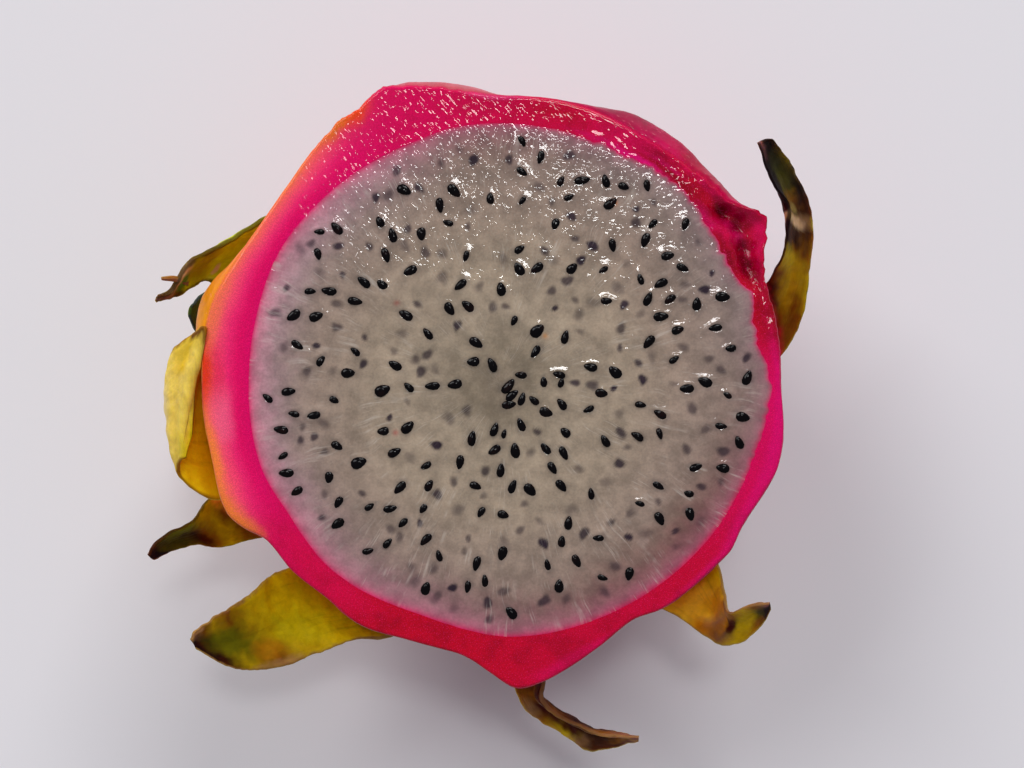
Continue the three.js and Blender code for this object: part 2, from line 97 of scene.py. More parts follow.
# The bracts near the cut: rows of [direction, distance from the axis, height], from the foot on the skin to
# the tip, the edge further clockwise first. cup is how deep the blade is troughed on its inner side, thick
# its thickness at foot and tip.
RIM_BRACTS = {
    "forked": {"cup": 0.5, "thick": (2.2, 0.9), "rows": [
        [[146, 42.5, 36], [161, 43.0, 32]], [[143.5, 45.2, 41.5], [161.5, 47.6, 37]],
        [[148, 47.4, 43.5], [161, 50.2, 39.5]], [[153, 49.7, 45], [161.5, 51.5, 41]],
        [[157, 51.9, 46.5], [163, 52.6, 43]], [[159.8, 53.4, 46.8], [164.5, 53.3, 44]],
        [[164, 54.5, 46.4], [165.6, 54.8, 45]], [[165.8, 55.9, 48], [166.7, 56.2, 47.2]]]},
    "small": {"cup": 0.8, "thick": (2.2, 0.9), "rows": [
        [[156, 40.0, 14], [175, 40.0, 13]], [[157.5, 45.6, 21], [174.5, 46.0, 20]],
        [[160, 49.6, 28], [172.5, 50.0, 27]], [[163, 51.5, 33], [170.5, 51.8, 32]],
        [[166, 52.4, 36.5], [168, 52.5, 36]]]},
    "folded": {"cup": 0, "thick": (2.6, 0.9), "rows": [
        [[170.5, 43.0, 34], [202.5, 43.0, 29]], [[170, 46.6, 43.5], [203.2, 47.2, 40.5]],
        [[171.4, 48.6, 46.4], [201.8, 49.8, 44.8]], [[173.6, 50.6, 47.8], [198.6, 51.9, 46.6]],
        [[175.0, 52.2, 49.0], [196.2, 52.9, 47.7]], [[173.2, 51.0, 50.5], [194.4, 52.6, 49.0]],
        [[171.0, 48.5, 51.8], [193.8, 52.0, 49.6]], [[169.2, 46.3, 54.3], [193.7, 51.4, 50.4]],
        [[180.5, 47.5, 52.2], [193.6, 51.0, 50.9]], [[189.5, 48.8, 51.4], [193.5, 50.7, 51.1]]]},
    "spike": {"cup": 1.2, "thick": (2.6, 1.0), "rows": [
        [[203.5, 42.5, 23], [215, 42.0, 19]], [[200.8, 48.5, 31], [214, 46.0, 25.5]],
        [[202, 53.0, 34.5], [212, 50.0, 28.5]], [[204, 55.5, 38], [210, 54.5, 31.5]],
        [[204.5, 59.0, 40], [208, 56.8, 34.5]], [[205, 62.0, 41], [207, 60.8, 38]],
        [[206, 63.6, 41.2], [206.9, 63.4, 40.4]]]},
    "broad": {"cup": 1.6, "thick": (3.0, 0.9), "rows": [
        [[225, 42.0, 22], [246, 42.0, 22]], [[221.5, 46.5, 30], [247, 45.6, 29.5]],
        [[220, 50.2, 34], [240.5, 49.0, 33]], [[220, 53.8, 38], [236, 53.8, 34.5]],
        [[219.8, 57.5, 41], [232, 59.5, 36.5]], [[219, 60.5, 43], [228, 63.2, 39]],
        [[219, 63.0, 44], [223.5, 64.5, 41.5]], [[219.6, 64.4, 44.6], [221, 65.0, 43.2]]]},
    "dry": {"cup": 1.8, "thick": (2.4, 0.9), "rows": [
        [[268.5, 42.0, 26], [281, 42.0, 28]], [[272, 48.5, 31], [278.8, 48.0, 36]],
        [[273.8, 53.2, 32.5], [277.4, 52.4, 37.5]], [[276.4, 56.6, 32], [279.2, 54.5, 37.5]],
        [[280, 59.6, 33], [282.2, 56.9, 39]], [[283.4, 61.8, 36], [284.9, 58.5, 42]],
        [[287, 62.0, 39.8], [288, 59.5, 44.5]], [[291.2, 61.2, 45.2], [291.4, 60.4, 46.6]]]},
    "curled": {"cup": 1.6, "thick": (2.6, 0.9), "rows": [
        [[305.5, 41.5, 26], [319.5, 42.0, 27]], [[304.6, 44.6, 33], [320.5, 46.2, 35]],
        [[307, 48.0, 35.5], [317.5, 49.2, 38.5]], [[308.8, 52.0, 38], [315.5, 51.0, 42]],
        [[310.2, 55.5, 41], [315, 51.6, 46]], [[313.2, 57.0, 44], [317, 52.0, 50]],
        [[317.2, 56.4, 48], [319.4, 53.0, 52.5]], [[320.2, 55.0, 52.3], [320.6, 54.0, 53.5]]]},
    "long": {"cup": 1.6, "thick": (2.6, 0.9), "rows": [
        [[3.5, 42.5, 21], [20, 42.5, 28]], [[4.6, 46.4, 29.5], [20.5, 46.2, 38.5]],
        [[10.9, 50.1, 33], [22.5, 47.8, 43]], [[16.3, 52.5, 37], [25, 49.5, 47]],
        [[21.3, 53.9, 41], [27.6, 51.2, 50]], [[27.0, 55.8, 44], [30.2, 52.3, 52.5]],
        [[31.7, 56.9, 48], [33.6, 52.2, 54.5]], [[37.2, 56.6, 53], [38.4, 52.6, 57]],
        [[41.8, 55.8, 58.6], [42.9, 53.5, 60]]]},
}
# A small second prong where the forked bract has dried and split.
PRONG = {"cup": 0, "thick": (1.1, 0.8), "rows": [
    [[161.4, 53.0, 44.5], [162.8, 52.9, 43.9]],
    [[162.0, 54.8, 47.4], [162.8, 54.6, 47.0]],
    [[162.6, 56.1, 48.6], [163.1, 55.9, 48.4]]]}

# The smaller bracts towards the stem follow the fruit's spiral.
SPIRAL = {
    "count": 12, "turn": 137.5, "start": 35, "lowest": 6, "highest": 27, "shortest": 9, "longest": 18,
    "slender": 0.5, "lean": 3.4, "clearance": 12, "thick": (2.4, 0.9), "cup": 0.8,
}
BRACT_ROOT = 3  # how deep, and how far down, each foot is sunk in the skin
# The skin's ramp up to each bract.
SWELLING = {"height": 2.4, "run": 17, "overlap": 4}

# The seeds that stand in the cut face: a tight cluster near the middle, and the rest by seeded draws.
SEEDS = {
    "count": 174, "draw": 2718, "long": (1.8, 2.7), "slim": 0.6, "taper": 0.28, "proud": 0.4, "sunk": 0.6,
    "margin": 2.4, "spacing": 2.7,
}
# A few of the seeds are listed one by one: x, y, direction pointed in, length.
MIDDLE_CLUSTER = [
    [1.3, -0.5, 50, 2.9], [1.8, -1.9, 40, 2.6], [1.4, -3.4, 10, 2.5], [3.4, -2.5, 70, 2.3],
    [5.2, -2.7, 140, 2.0], [3.3, 1.2, 170, 2.1], [6.8, 0.2, 95, 1.9], [9.1, 1.3, 165, 2.2],
    [9.5, 0.0, 75, 1.7], [9.6, -3.3, 125, 2.2], [-0.8, -7.2, 70, 2.4], [0.6, -7.9, 75, 1.7],
    [2.3, -10.5, 95, 2.6],
]
# Seeds that lie under the cut face and show through it.
DEEP_SEEDS = {"count": 150, "draw": 31415, "shortest": 1.3, "extra": 1.1, "margin": 2.0, "spacing": 1.9}


# ---- small helpers ------------------------------------------------------------------------------
def dye(red, green, blue):
    """A colour given as screen values, 0 to 255, in linear light."""
    share = np.array([red, green, blue]) / 255
    return np.where(share <= 0.04045, share / 12.92, ((share + 0.055) / 1.055) ** 2.4)


def smooth(x):
    """Eases from 0 to 1 as x does."""
    t = np.clip(x, 0, 1)
    return t * t * (3 - 2 * t)


def mix(a, b, share):
    """Colours a turned towards b, point by point."""
    share = np.asarray(share, float)[..., None]
    return a * (1 - share) + b * share


def laid_over(tint, *layers):
    """The tint with each (colour, share) layer mixed over it in turn."""
    for colour, share in layers:
        tint = mix(tint, colour, share)
    return tint


def along_run(stops, share):
    """The colour at each share of a run of (place, colour) stops."""
    at = [place for place, _ in stops]
    return np.stack([np.interp(share, at, [colour[k] for _, colour in stops]) for k in range(3)], 1)


def turn_between(a, b):
    return (a - b + 540) % 360 - 180


def near_direction(deg, at, spread):
    """1 at a direction round the fruit, fading out over spread degrees to each side."""
    return np.exp(-((turn_between(deg, at) / spread) ** 2))


def read_around(outline, deg):
    """Reads a closed outline of [direction, value] points with a smooth curve through them."""
    points = np.array(outline, float)
    lap = np.array([360.0, 0.0])
    points = np.concatenate([points[-2:] - lap, points, points[:3] + lap])
    at = np.mod(deg, 360.0)
    i = np.searchsorted(points[:, 0], at, side="right") - 1
    before, here, after, beyond = (points[i + k] for k in (-1, 0, 1, 2))
    span = after[..., 0] - here[..., 0]
    t = (at - here[..., 0]) / span
    slope_in = (after[..., 1] - before[..., 1]) / (after[..., 0] - before[..., 0]) * span
    slope_out = (beyond[..., 1] - here[..., 1]) / (beyond[..., 0] - here[..., 0]) * span
    t2, t3 = t * t, t * t * t
    return ((2 * t3 - 3 * t2 + 1) * here[..., 1] + (t3 - 2 * t2 + t) * slope_in
            + (3 * t2 - 2 * t3) * after[..., 1] + (t3 - t2) * slope_out)


def draw_stream(start):
    """A repeatable stream of numbers between 0 and 1."""
    state = start
    while True:
        state = state * 16807 % 2147483647
        yield state / 2147483647


def polar(deg, r, z):
    turn = np.radians(deg)
    return np.stack(np.broadcast_arrays(r * np.cos(turn), r * np.sin(turn), z), -1)


def grain(points, size, octaves=1, drift=0.0):
    """Smooth noise from -1 to 1 at each point, its bumps about size mm across."""
    offset = Vector((drift, drift * 0.7, drift * 1.3))
    if octaves == 1:
        return np.array([noise.noise(Vector(p) / size + offset) for p in points])
    return np.array([noise.fractal(Vector(p) / size + offset, 0.6, 2.0, octaves) for p in points])


def spots(points, places, reach):
    """Soft round spots: 1 at each [x, y] place and fading out over reach mm, the strongest one counting."""
    most = np.zeros(len(points))
    for x, y in places:
        far = ((points[:, 0] - x) ** 2 + (points[:, 1] - y) ** 2) / reach ** 2
        most = np.maximum(most, np.exp(-far))
    return most


# ---- pieces -------------------------------------------------------------------------------------
def points_of(mesh):
    flat = np.zeros(len(mesh.vertices) * 3)
    mesh.vertices.foreach_get("co", flat)
    return flat.reshape(-1, 3)


def set_points(mesh, points):
    """Moves the mesh's points to places given in millimetres."""
    mesh.vertices.foreach_set("co", np.ascontiguousarray(points * MM, np.float32).ravel())
    mesh.update()


def paint(mesh, name, colours):
    """Keeps one colour a point on the mesh, for its material to read."""
    layer = mesh.attributes.new(name, "FLOAT_COLOR", "POINT")
    full = np.concatenate([np.clip(colours, 0, 1), np.ones((len(colours), 1))], 1)
    layer.data.foreach_set("color", np.ascontiguousarray(full, np.float32).ravel())


def measure(mesh, name, values):
    """Keeps one number a point on the mesh, for its material to read."""
    layer = mesh.attributes.new(name, "FLOAT", "POINT")
    layer.data.foreach_set("value", np.ascontiguousarray(values, np.float32))


def mesh_from(name, bm):
    mesh = bpy.data.meshes.new(name)
    bm.to_mesh(mesh)
    bm.free()
    return mesh


def new_points(made):
    """The points among what an extrusion gives back."""
    return [part for part in made["geom"] if isinstance(part, bmesh.types.BMVert)]


def turn_outwards(mesh):
    bm = bmesh.new()
    bm.from_mesh(mesh)
    bmesh.ops.recalc_face_normals(bm, faces=bm.faces)
    bm.to_mesh(mesh)
    bm.free()


def add_piece(name, mesh, slot, stands_for, *materials):
    """Puts a finished mesh on show, riding on the fruit."""
    turn_outwards(mesh)
    mesh.polygons.foreach_set("use_smooth", [True] * len(mesh.polygons))
    for material in materials:
        mesh.materials.append(material)
    piece = bpy.data.objects.new(name, mesh)
    scene.collection.objects.link(piece)
    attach(piece, "root")
    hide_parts(stands_for)
    return piece


# ---- finishes -----------------------------------------------------------------------------------
THREAD_WHITE = dye(208, 198, 188)
SEED_BLACK = dye(2, 0, 2)
SEED_BROWN = dye(22, 6, 6)
SPARKLE_PINK = dye(255, 44, 132)
DOT_PINK = dye(248, 150, 160)
VEIN_BROWN = dye(70, 48, 12)
WOOD_DARK = dye(74, 56, 34)
WOOD_PALE = dye(150, 122, 82)
FLOOR_GREY = dye(226, 224, 228)


def new_finish(name):
    """A bare material, and a call that adds a node to it with its sockets set or joined."""
    material = bpy.data.materials.new(name)
    material.use_nodes = True
    tree = material.node_tree
    tree.nodes.clear()

    def node(kind, sockets=None, **settings):
        made = tree.nodes.new("ShaderNode" + kind)
        for key, value in settings.items():
            setattr(made, key, value)
        for socket, value in (sockets or {}).items():
            if isinstance(value, bpy.types.NodeSocket):
                tree.links.new(value, made.inputs[socket])
            else:
                made.inputs[socket].default_value = value
        return made

    return material, node


def finish_surface(node, sockets):
    surface = node("BsdfPrincipled", sockets)
    node("OutputMaterial", {"Surface": surface.outputs["BSDF"]})


def in_millimetres(node):
    place = node("TexCoord").outputs["Object"]
    return node("VectorMath", {0: place, "Scale": 1 / MM}, operation="SCALE").outputs["Vector"]


def noise_of(node, place, size, detail=2.0, rough=0.5, stretch=(1, 1, 1)):
    """Noise whose bumps are about size mm across, 0 to 1."""
    if stretch != (1, 1, 1):
        place = node("Mapping", {"Vector": place, "Scale": stretch}).outputs["Vector"]
    made = node("TexNoise", {"Vector": place, "Scale": 1 / size, "Detail": detail, "Roughness": rough})
    return made.outputs["Fac"]


def ranged(node, value, low, high, out_low=0.0, out_high=1.0):
    """The value eased from one range to another."""
    limits = {"From Min": low, "From Max": high, "To Min": out_low, "To Max": out_high}
    return node("MapRange", {"Value": value, **limits}, interpolation_type="SMOOTHSTEP").outputs["Result"]


def blended(node, share, a, b, blend="MIX"):
    made = node("Mix", data_type="RGBA", blend_type=blend)
    tree = made.id_data
    for socket, value in ((0, share), (6, a), (7, b)):
        if isinstance(value, bpy.types.NodeSocket):
            tree.links.new(value, made.inputs[socket])
        else:
            made.inputs[socket].default_value = value if socket == 0 else (*value, 1)
    return made.outputs[2]


def maths(node, operation, a, b=0.0, c=0.0):
    return node("Math", {0: a, 1: b, 2: c}, operation=operation).outputs[0]


def vector(node, operation, sockets, output="Vector"):
    return node("VectorMath", sockets, operation=operation).outputs[output]


def kept(node, name, output="Fac"):
    """What the mesh keeps for its finish under a name."""
    return node("Attribute", attribute_name=name).outputs[output]


def shaded(node, tint, grey):
    """The tint made darker or lighter by a grey share."""
    even = node("CombineColor", {0: grey, 1: grey, 2: grey}).outputs[0]
    return blended(node, 1.0, tint, even, "MULTIPLY")


def relief(node, height, depth=1.0):
    """Fine relief, depth mm for each unit of height."""
    return node("Bump", {"Height": height, "Strength": 1.0, "Distance": depth * MM}).outputs["Normal"]


def knife_ripples(node, place):
    """Fine relief left by the knife, in mm: slanting streaks where "streaked" says so, dimples where
    "rippled" does. It comes in small patches with smooth wet flesh between them."""
    slanted = node("Mapping", {"Vector": place, "Rotation": (0, 0, math.radians(48))}).outputs["Vector"]
    streaks = maths(node, "SUBTRACT", noise_of(node, slanted, 0.34, 0.0, 0.5, (0.22, 1, 1)), 0.5)
    dimples = maths(node, "SUBTRACT", noise_of(node, place, 0.4, 0.0, 0.5, (0.5, 1, 1)), 0.5)
    dimples = maths(node, "MULTIPLY", dimples, kept(node, "rippled"))
    both = maths(node, "MULTIPLY_ADD", streaks, kept(node, "streaked"), dimples)
    return maths(node, "MULTIPLY", both, ranged(node, noise_of(node, place, 0.9, 1.0), 0.45, 0.6))


def pale_threads(node, place):
    """Faint fibres that run outwards from the middle in loose patches, 0 to 1."""
    bend = node("TexNoise", {"Vector": place, "Scale": 0.16, "Detail": 1.0}).outputs["Color"]
    bend = vector(node, "SUBTRACT", {0: bend, 1: (0.5, 0.5, 0.5)})
    bent = vector(node, "MULTIPLY_ADD", {0: bend, 1: (2, 2, 0), 2: place})
    flat = vector(node, "MULTIPLY", {0: bent, 1: (1, 1, 0)})
    out = vector(node, "LENGTH", {0: flat}, "Value")
    round_ = vector(node, "NORMALIZE", {0: flat})

    def fibres(fineness, length):
        ring = vector(node, "SCALE", {0: round_, "Scale": fineness})
        along = node("CombineXYZ", {"Z": maths(node, "DIVIDE", out, length)}).outputs["Vector"]
        laid = vector(node, "ADD", {0: ring, 1: along})
        made = node("TexNoise", {"Vector": laid, "Scale": 1.0, "Detail": 3.0, "Roughness": 0.6})
        return ranged(node, made.outputs["Fac"], 0.54, 0.74)

    patches = ranged(node, noise_of(node, place, 4.0, 2.0), 0.45, 0.65)
    return maths(node, "MULTIPLY", maths(node, "MAXIMUM", fibres(30, 7), fibres(80, 5)), patches)


def flesh_finish():
    """Wet translucent flesh, a little cloudy, with a few pale fibres."""
    material, node = new_finish("wet_flesh")
    place = in_millimetres(node)
    clouds = ranged(node, noise_of(node, place, 2.6, 3.0, 0.6), 0.3, 0.7, 0.83, 1.17)
    cells = ranged(node, noise_of(node, place, 0.35, 2.0, 0.6), 0.3, 0.7, 0.93, 1.07)
    tint = shaded(node, kept(node, "tint", "Color"), maths(node, "MULTIPLY", clouds, cells))
    threads = maths(node, "MULTIPLY", pale_threads(node, place), 0.36)
    tint = blended(node, threads, tint, THREAD_WHITE)
    wet = relief(node, knife_ripples(node, place))
    finish_surface(node, {
        "Base Color": tint, "Roughness": 0.5, "Specular IOR Level": 0.05,
        "Subsurface Weight": 0.25, "Subsurface Radius": (1.0, 0.7, 0.6), "Subsurface Scale": 0.0016,
        "Coat Weight": 1.0, "Coat Roughness": 0.02, "Coat IOR": 1.4, "Coat Normal": wet,
    })
    return material


def seed_finish():
    """Hard near-black seed coats with a wet shine."""
    material, node = new_finish("seed_coat")
    place = in_millimetres(node)
    brown = ranged(node, noise_of(node, place, 2.2, 1.0), 0.55, 0.8)
    coat = relief(node, noise_of(node, place, 0.5, 1.0), 0.05)
    finish_surface(node, {
        "Base Color": blended(node, brown, SEED_BLACK, SEED_BROWN), "Roughness": 0.5,
        "Specular IOR Level": 0.02, "Normal": coat,
        "Coat Weight": 0.28, "Coat Roughness": 0.02, "Coat IOR": 1.5, "Coat Normal": coat,
    })
    return material


def cut_skin_finish():
    """The moist cut band: hot pink with a fine granular sparkle."""
    material, node = new_finish("cut_skin")
    place = in_millimetres(node)
    grains = ranged(node, noise_of(node, place, 0.17, 2.0, 0.6), 0.35, 0.7, 0.86, 1.14)
    tint = shaded(node, kept(node, "tint", "Color"), grains)
    sparkle = maths(node, "MULTIPLY", ranged(node, noise_of(node, place, 0.18, 1.0), 0.56, 0.76), 0.4)
    moist = relief(node, knife_ripples(node, place))
    finish_surface(node, {
        "Base Color": blended(node, sparkle, tint, SPARKLE_PINK), "Roughness": 0.5,
        "Specular IOR Level": 0.01,
        "Subsurface Weight": 0.1, "Subsurface Radius": (1.0, 0.2, 0.3), "Subsurface Scale": 0.001,
        "Coat Weight": 0.6, "Coat Roughness": 0.02, "Coat IOR": 1.4, "Coat Normal": moist,
    })
    return material


def waxy_skin_finish():
    """The outside of the skin: smooth, waxy, faintly mottled, dotted and wrinkled."""
    material, node = new_finish("waxy_skin")
    place = in_millimetres(node)
    mottle = ranged(node, noise_of(node, place, 3.2, 4.0, 0.6), 0.3, 0.7, 0.86, 1.12)
    tint = shaded(node, kept(node, "tint", "Color"), mottle)
    dots = maths(node, "MULTIPLY", ranged(node, noise_of(node, place, 0.7, 1.0), 0.66, 0.76), 0.22)
    wrinkles = noise_of(node, place, 2.4, 3.0, 0.5, (1, 1, 0.35))
    pores = maths(node, "MULTIPLY", noise_of(node, place, 0.35, 2.0), 0.02)
    waxy = relief(node, maths(node, "MULTIPLY_ADD", wrinkles, 0.22, pores))
    finish_surface(node, {
        "Base Color": blended(node, dots, tint, DOT_PINK), "Normal": waxy,
        "Roughness": ranged(node, noise_of(node, place, 6.0, 2.0), 0.35, 0.65, 0.34, 0.48),
        "Subsurface Weight": 0.06, "Subsurface Radius": (1.0, 0.3, 0.4), "Subsurface Scale": 0.001,
        "Specular IOR Level": 0.06, "Coat Weight": 0.03, "Coat Roughness": 0.2,
    })
    return material


def bract_finish():
    """Leathery bracts, their colour painted on, with fine lengthwise veins."""
    material, node = new_finish("leathery_bract")
    place = in_millimetres(node)
    mottle = ranged(node, noise_of(node, place, 1.3, 4.0, 0.65), 0.3, 0.7, 0.92, 1.1)
    tint = shaded(node, kept(node, "tint", "Color"), mottle)
    across = maths(node, "MULTIPLY", kept(node, "across"), 16.0)
    veins = node("CombineXYZ", {"X": across, "Y": kept(node, "along")}).outputs["Vector"]
    veins = node("TexNoise", {"Vector": veins, "Scale": 1.0, "Detail": 2.0}).outputs["Fac"]
    tint = blended(node, ranged(node, veins, 0.55, 0.75, 0.0, 0.16), tint, VEIN_BROWN)
    crinkle = maths(node, "MULTIPLY", noise_of(node, place, 0.8, 3.0, 0.6), 0.08)
    leathery = relief(node, maths(node, "MULTIPLY_ADD", veins, 0.12, crinkle))
    finish_surface(node, {
        "Base Color": tint, "Roughness": 0.52, "Normal": leathery, "Specular IOR Level": 0.06,
        "Subsurface Weight": 0.6, "Subsurface Radius": (1.0, 0.85, 0.15), "Subsurface Scale": 0.0025,
    })
    return material


def woody_finish():
    """The dry wood of the stem's scar."""
    material, node = new_finish("woody_stem")
    rings = noise_of(node, in_millimetres(node), 0.7, 4.0, 0.7)
    tint = blended(node, ranged(node, rings, 0.35, 0.65), WOOD_DARK, WOOD_PALE)
    finish_surface(node, {"Base Color": tint, "Roughness": 0.8, "Normal": relief(node, rings, 0.4)})
    return material


def floor_finish():
    """A pale matt floor."""
    material, node = new_finish("pale_floor")
    finish_surface(node, {"Base Color": (*FLOOR_GREY, 1), "Roughness": 0.7, "Specular IOR Level": 0.2})
    return material


# ---- the skin's outer form ----------------------------------------------------------------------
# The stretch where the flesh's edge is ragged: direction, reach in degrees and how gently it ends.
RAGGED_EDGE = (28, 58, 24)
FRAY_RING = 40  # radius at which its noise is read


def body_radius(deg, z):
    """The bare body's radius at a height, before any swelling."""
    cosine = (1 - np.clip(z / CUT_HEIGHT, 0, 1)) ** (1 / FULLNESS)
    side = np.sqrt(1 - cosine * cosine) ** FULLNESS
    fade = smooth(1 - (CUT_HEIGHT - z) / RIM_FADE)
    rim = MEAN_RADIUS + (read_around(SKIN_RIM, deg) - MEAN_RADIUS) * fade
    shoulder = read_around(SHOULDER, deg) * np.sin(np.pi * np.clip((CUT_HEIGHT - z) / SHOULDER_DEPTH, 0, 1))
    return REST_RADIUS + (rim - REST_RADIUS) * side + shoulder


def rim_feet():
    """(direction, half its spread in degrees, height) of each foot near the cut."""
    feet = []
    for bract in RIM_BRACTS.values():
        left, right = bract["rows"][0]
        feet.append(((left[0] + right[0]) / 2, abs(left[0] - right[0]) / 2, (left[2] + right[2]) / 2))
    return feet


def spiral_feet():
    """(direction, half its spread in degrees, height, length) of each small bract that has room."""
    found = []
    for k in range(SPIRAL["count"]):
        step = k / (SPIRAL["count"] - 1)
        deg = (SPIRAL["start"] + SPIRAL["turn"] * k) % 360
        foot = SPIRAL["lowest"] + (SPIRAL["highest"] - SPIRAL["lowest"]) * step
        length = SPIRAL["shortest"] + (SPIRAL["longest"] - SPIRAL["shortest"]) * step
        spread = math.degrees(length * SPIRAL["slender"] / float(body_radius(deg, foot)))
        taken = any(abs(turn_between(deg, at)) < spread + wide and abs(foot - height) < SPIRAL["clearance"]
                    for at, wide, height in rim_feet())
        if not taken:
            found.append((deg, spread, foot, length))
    return found


SMALL_FEET = spiral_feet()
FEET = rim_feet() + [foot[:3] for foot in SMALL_FEET]


def near_feet(deg, z, run, overlap, tightness=1.6):
    """1 at each bract's foot, ramping up to it from below and dropping back above it."""
    most = np.zeros(np.broadcast(deg, z).shape)
    for at, spread, foot in FEET:
        across = np.exp(-((turn_between(deg, at) / spread) ** 2) * tightness)
        below = smooth(1 - (foot - z) / min(run, foot))
        above = smooth(1 - (z - foot) / overlap)
        most = np.maximum(most, across * np.minimum(below, above))
    return most


def skin_radius(deg, z):
    swollen = near_feet(deg, z, SWELLING["run"], SWELLING["overlap"])
    return body_radius(deg, z) + SWELLING["height"] * swollen


def rim_height(deg, across):
    """Height of the cut band: level, but for the torn hollow."""
    torn = near_direction(deg, TEAR["at"], TEAR["spread"])
    band = np.exp(-(((across - TEAR["across"]) / TEAR["width"]) ** 2))
    return CUT_HEIGHT - TEAR["depth"] * torn * band


def plug_height(rise):
    """Height of the flesh's rounded underside, from its middle (0) up to its edge (half pi)."""
    return CUT_HEIGHT - (CUT_HEIGHT - FLESH_FLOOR) * np.cos(rise) ** FULLNESS


def flesh_edge(deg):
    """Radius of the flesh's outline with the gap to the skin, ragged where the skin has torn."""
    at, reach, ease = RAGGED_EDGE
    ragged = smooth((reach - np.abs(turn_between(deg, at))) / ease)
    frayed = 0.5 * ragged * grain(polar(deg, FRAY_RING, 0), 1.8, 2)
    return read_around(FLESH_RIM, deg) + SKIN_GAP + frayed


# ---- skin ---------------------------------------------------------------------------------------
SKIN_SIDES = 620
SPOT_RINGS, WALL_RINGS, BAND_RINGS, BOWL_RINGS = 14, 84, 34, 10
FILLET = 0.5  # rounding of the cut band's outer edge
INSIDE_OVERLAP = 0.05  # how far the band runs in under the flesh's edge
# The flat spot's groove round the stem's scar: radius, width and depth, then the scar's own.
GROOVE = (6.2, 1.5, 1.1)
SCAR_FLOOR = (5.4, 1.2, 0.9)
# Stretches round the fruit, as (direction, spread): where the band is torn, and where its edge is nicked.
TORN_STRETCH = (34, 22)
NICKED_STRETCH = (112, 15)
# Noise on the skin, as (size of its bumps in mm, octaves, drift).
LUMPS, DENTS, CRUMBS, NICKS = (9.0, 2), (2.2, 2, 4.0), (0.8, 2, 8.0), (1.2, 2, 3.0)
MOTTLE, FLECKS = (5.0, 2, 9.0), (1.4, 2, 2.0)
NICK_RING = 47  # radius at which the nicks' noise is read
# Where the knife has left slanting streaks on the band: (direction, spread, strength).
KNIFE_STREAKS = [(108, 22, 0.04), (131, 12, 0.05)]

# Colours of the skin
MAGENTA = dye(216, 1, 92)
CRIMSON = dye(186, 0, 28)
HOT_PINK = dye(240, 34, 108)
CORAL = dye(252, 104, 108)
APRICOT = dye(238, 140, 60)
AMBER = dye(228, 170, 48)
LILAC = dye(205, 120, 152)
# Painted shade for the deep torn hollows.
HOLLOW_SHADE_RED = dye(96, 0, 8)
MAROON = dye(140, 0, 24)
GARNET = dye(160, 0, 34)
ROSE = dye(196, 20, 84)
FLECK_BROWN = dye(168, 96, 48)
SCAR_TAN = dye(150, 120, 60)

# How bright the cut band is round the fruit, and how far it turns to orange at its outer edge.
BRIGHT_ROUND = [
    [0, 0.9], [12, 0.12], [30, 0.1], [48, 0.1], [60, 0.65], [75, 0.3], [90, 0.45], [110, 0.75], [130, 1],
    [200, 1], [212, 0.7], [228, 0.4], [240, 0.1], [262, 0.05], [285, 0.15], [300, 0.2], [318, 0.2],
    [332, 0.55], [345, 0.8],
]
WARM_ROUND = [
    [0, 0], [60, 0], [88, 0], [104, 0], [114, 0.12], [123, 0.35], [131, 0.75], [142, 1], [200, 1], [208, 0.4],
    [215, 0.05], [228, 0], [300, 0],
]
# Patches of other colours: (direction, share across the cut or height in mm, reach round in degrees,
# reach the other way, colour, strength).
CUT_PATCHES = [
    (118.5, 1.0, 4, 0.26, dye(232, 70, 14), 0.95), (123.5, 1.0, 4, 0.2, dye(224, 110, 20), 0.9),
    (178, 0.96, 7, 0.24, dye(222, 50, 12), 0.95), (179, 0.66, 7, 0.14, dye(224, 34, 82), 0.7),
    (187, 0.6, 6, 0.24, dye(244, 112, 146), 0.45), (196, 0.98, 9, 0.2, dye(244, 132, 52), 0.8),
    (166, 0.92, 7, 0.2, dye(236, 114, 78), 0.6), (207, 1.0, 6, 0.3, dye(230, 124, 44), 0.85),
    (350, 0.72, 26, 0.34, dye(214, 4, 106), 0.7), (322, 0.85, 14, 0.2, dye(206, 4, 98), 0.6),
    (285, 0.85, 9, 0.2, dye(208, 2, 84), 0.7), (62, 0.14, 12, 0.12, dye(206, 10, 100), 0.7),
    (91, 0.95, 6, 0.1, dye(226, 62, 132), 0.6), (36, 0.84, 16, 0.2, dye(212, 4, 84), 0.85),
    # The dark red patches at 51, 48 and 29 degrees near the band's inner edge are painted shade of a hollow
    # beside the flesh.
    (57, 0.1, 7, 0.12, dye(222, 8, 120), 0.7), (51, 0.3, 9, 0.12, dye(156, 0, 26), 0.85),
    (48, 0.18, 5, 0.14, dye(132, 0, 18), 0.8), (53, 0.48, 5, 0.12, dye(222, 6, 104), 0.8),
    (39, 0.12, 4, 0.18, dye(214, 6, 108), 0.8), (33.5, 0.22, 3.5, 0.16, dye(196, 0, 70), 0.7),
    (29, 0.06, 5, 0.1, dye(110, 0, 20), 0.8), (15, 0.5, 7, 0.5, dye(150, 0, 22), 0.6),
    (33, 0.42, 4, 0.14, dye(206, 20, 112), 0.6), (27, 0.5, 3.4, 0.14, dye(205, 4, 88), 0.7),
    (78, 0.6, 7, 0.3, dye(176, 0, 34), 0.7),
    (14, 0.9, 6, 0.18, dye(140, 8, 12), 0.8), (228, 0.4, 14, 0.4, dye(214, 2, 66), 0.5),
]
FLANK_PATCHES = [
    (100, 52, 14, 6, dye(186, 84, 92), 0.9), (119, 53, 5, 6, dye(226, 100, 24), 0.95),
    (66, 47, 16, 14, dye(134, 8, 48), 0.85), (45, 49, 10, 9, dye(160, 0, 44), 0.9),
    (155, 50, 8, 8, dye(250, 120, 88), 0.85), (135, 50, 10, 8, dye(250, 122, 104), 0.85),
    (165, 45, 13, 15, dye(234, 140, 2), 0.95),
]
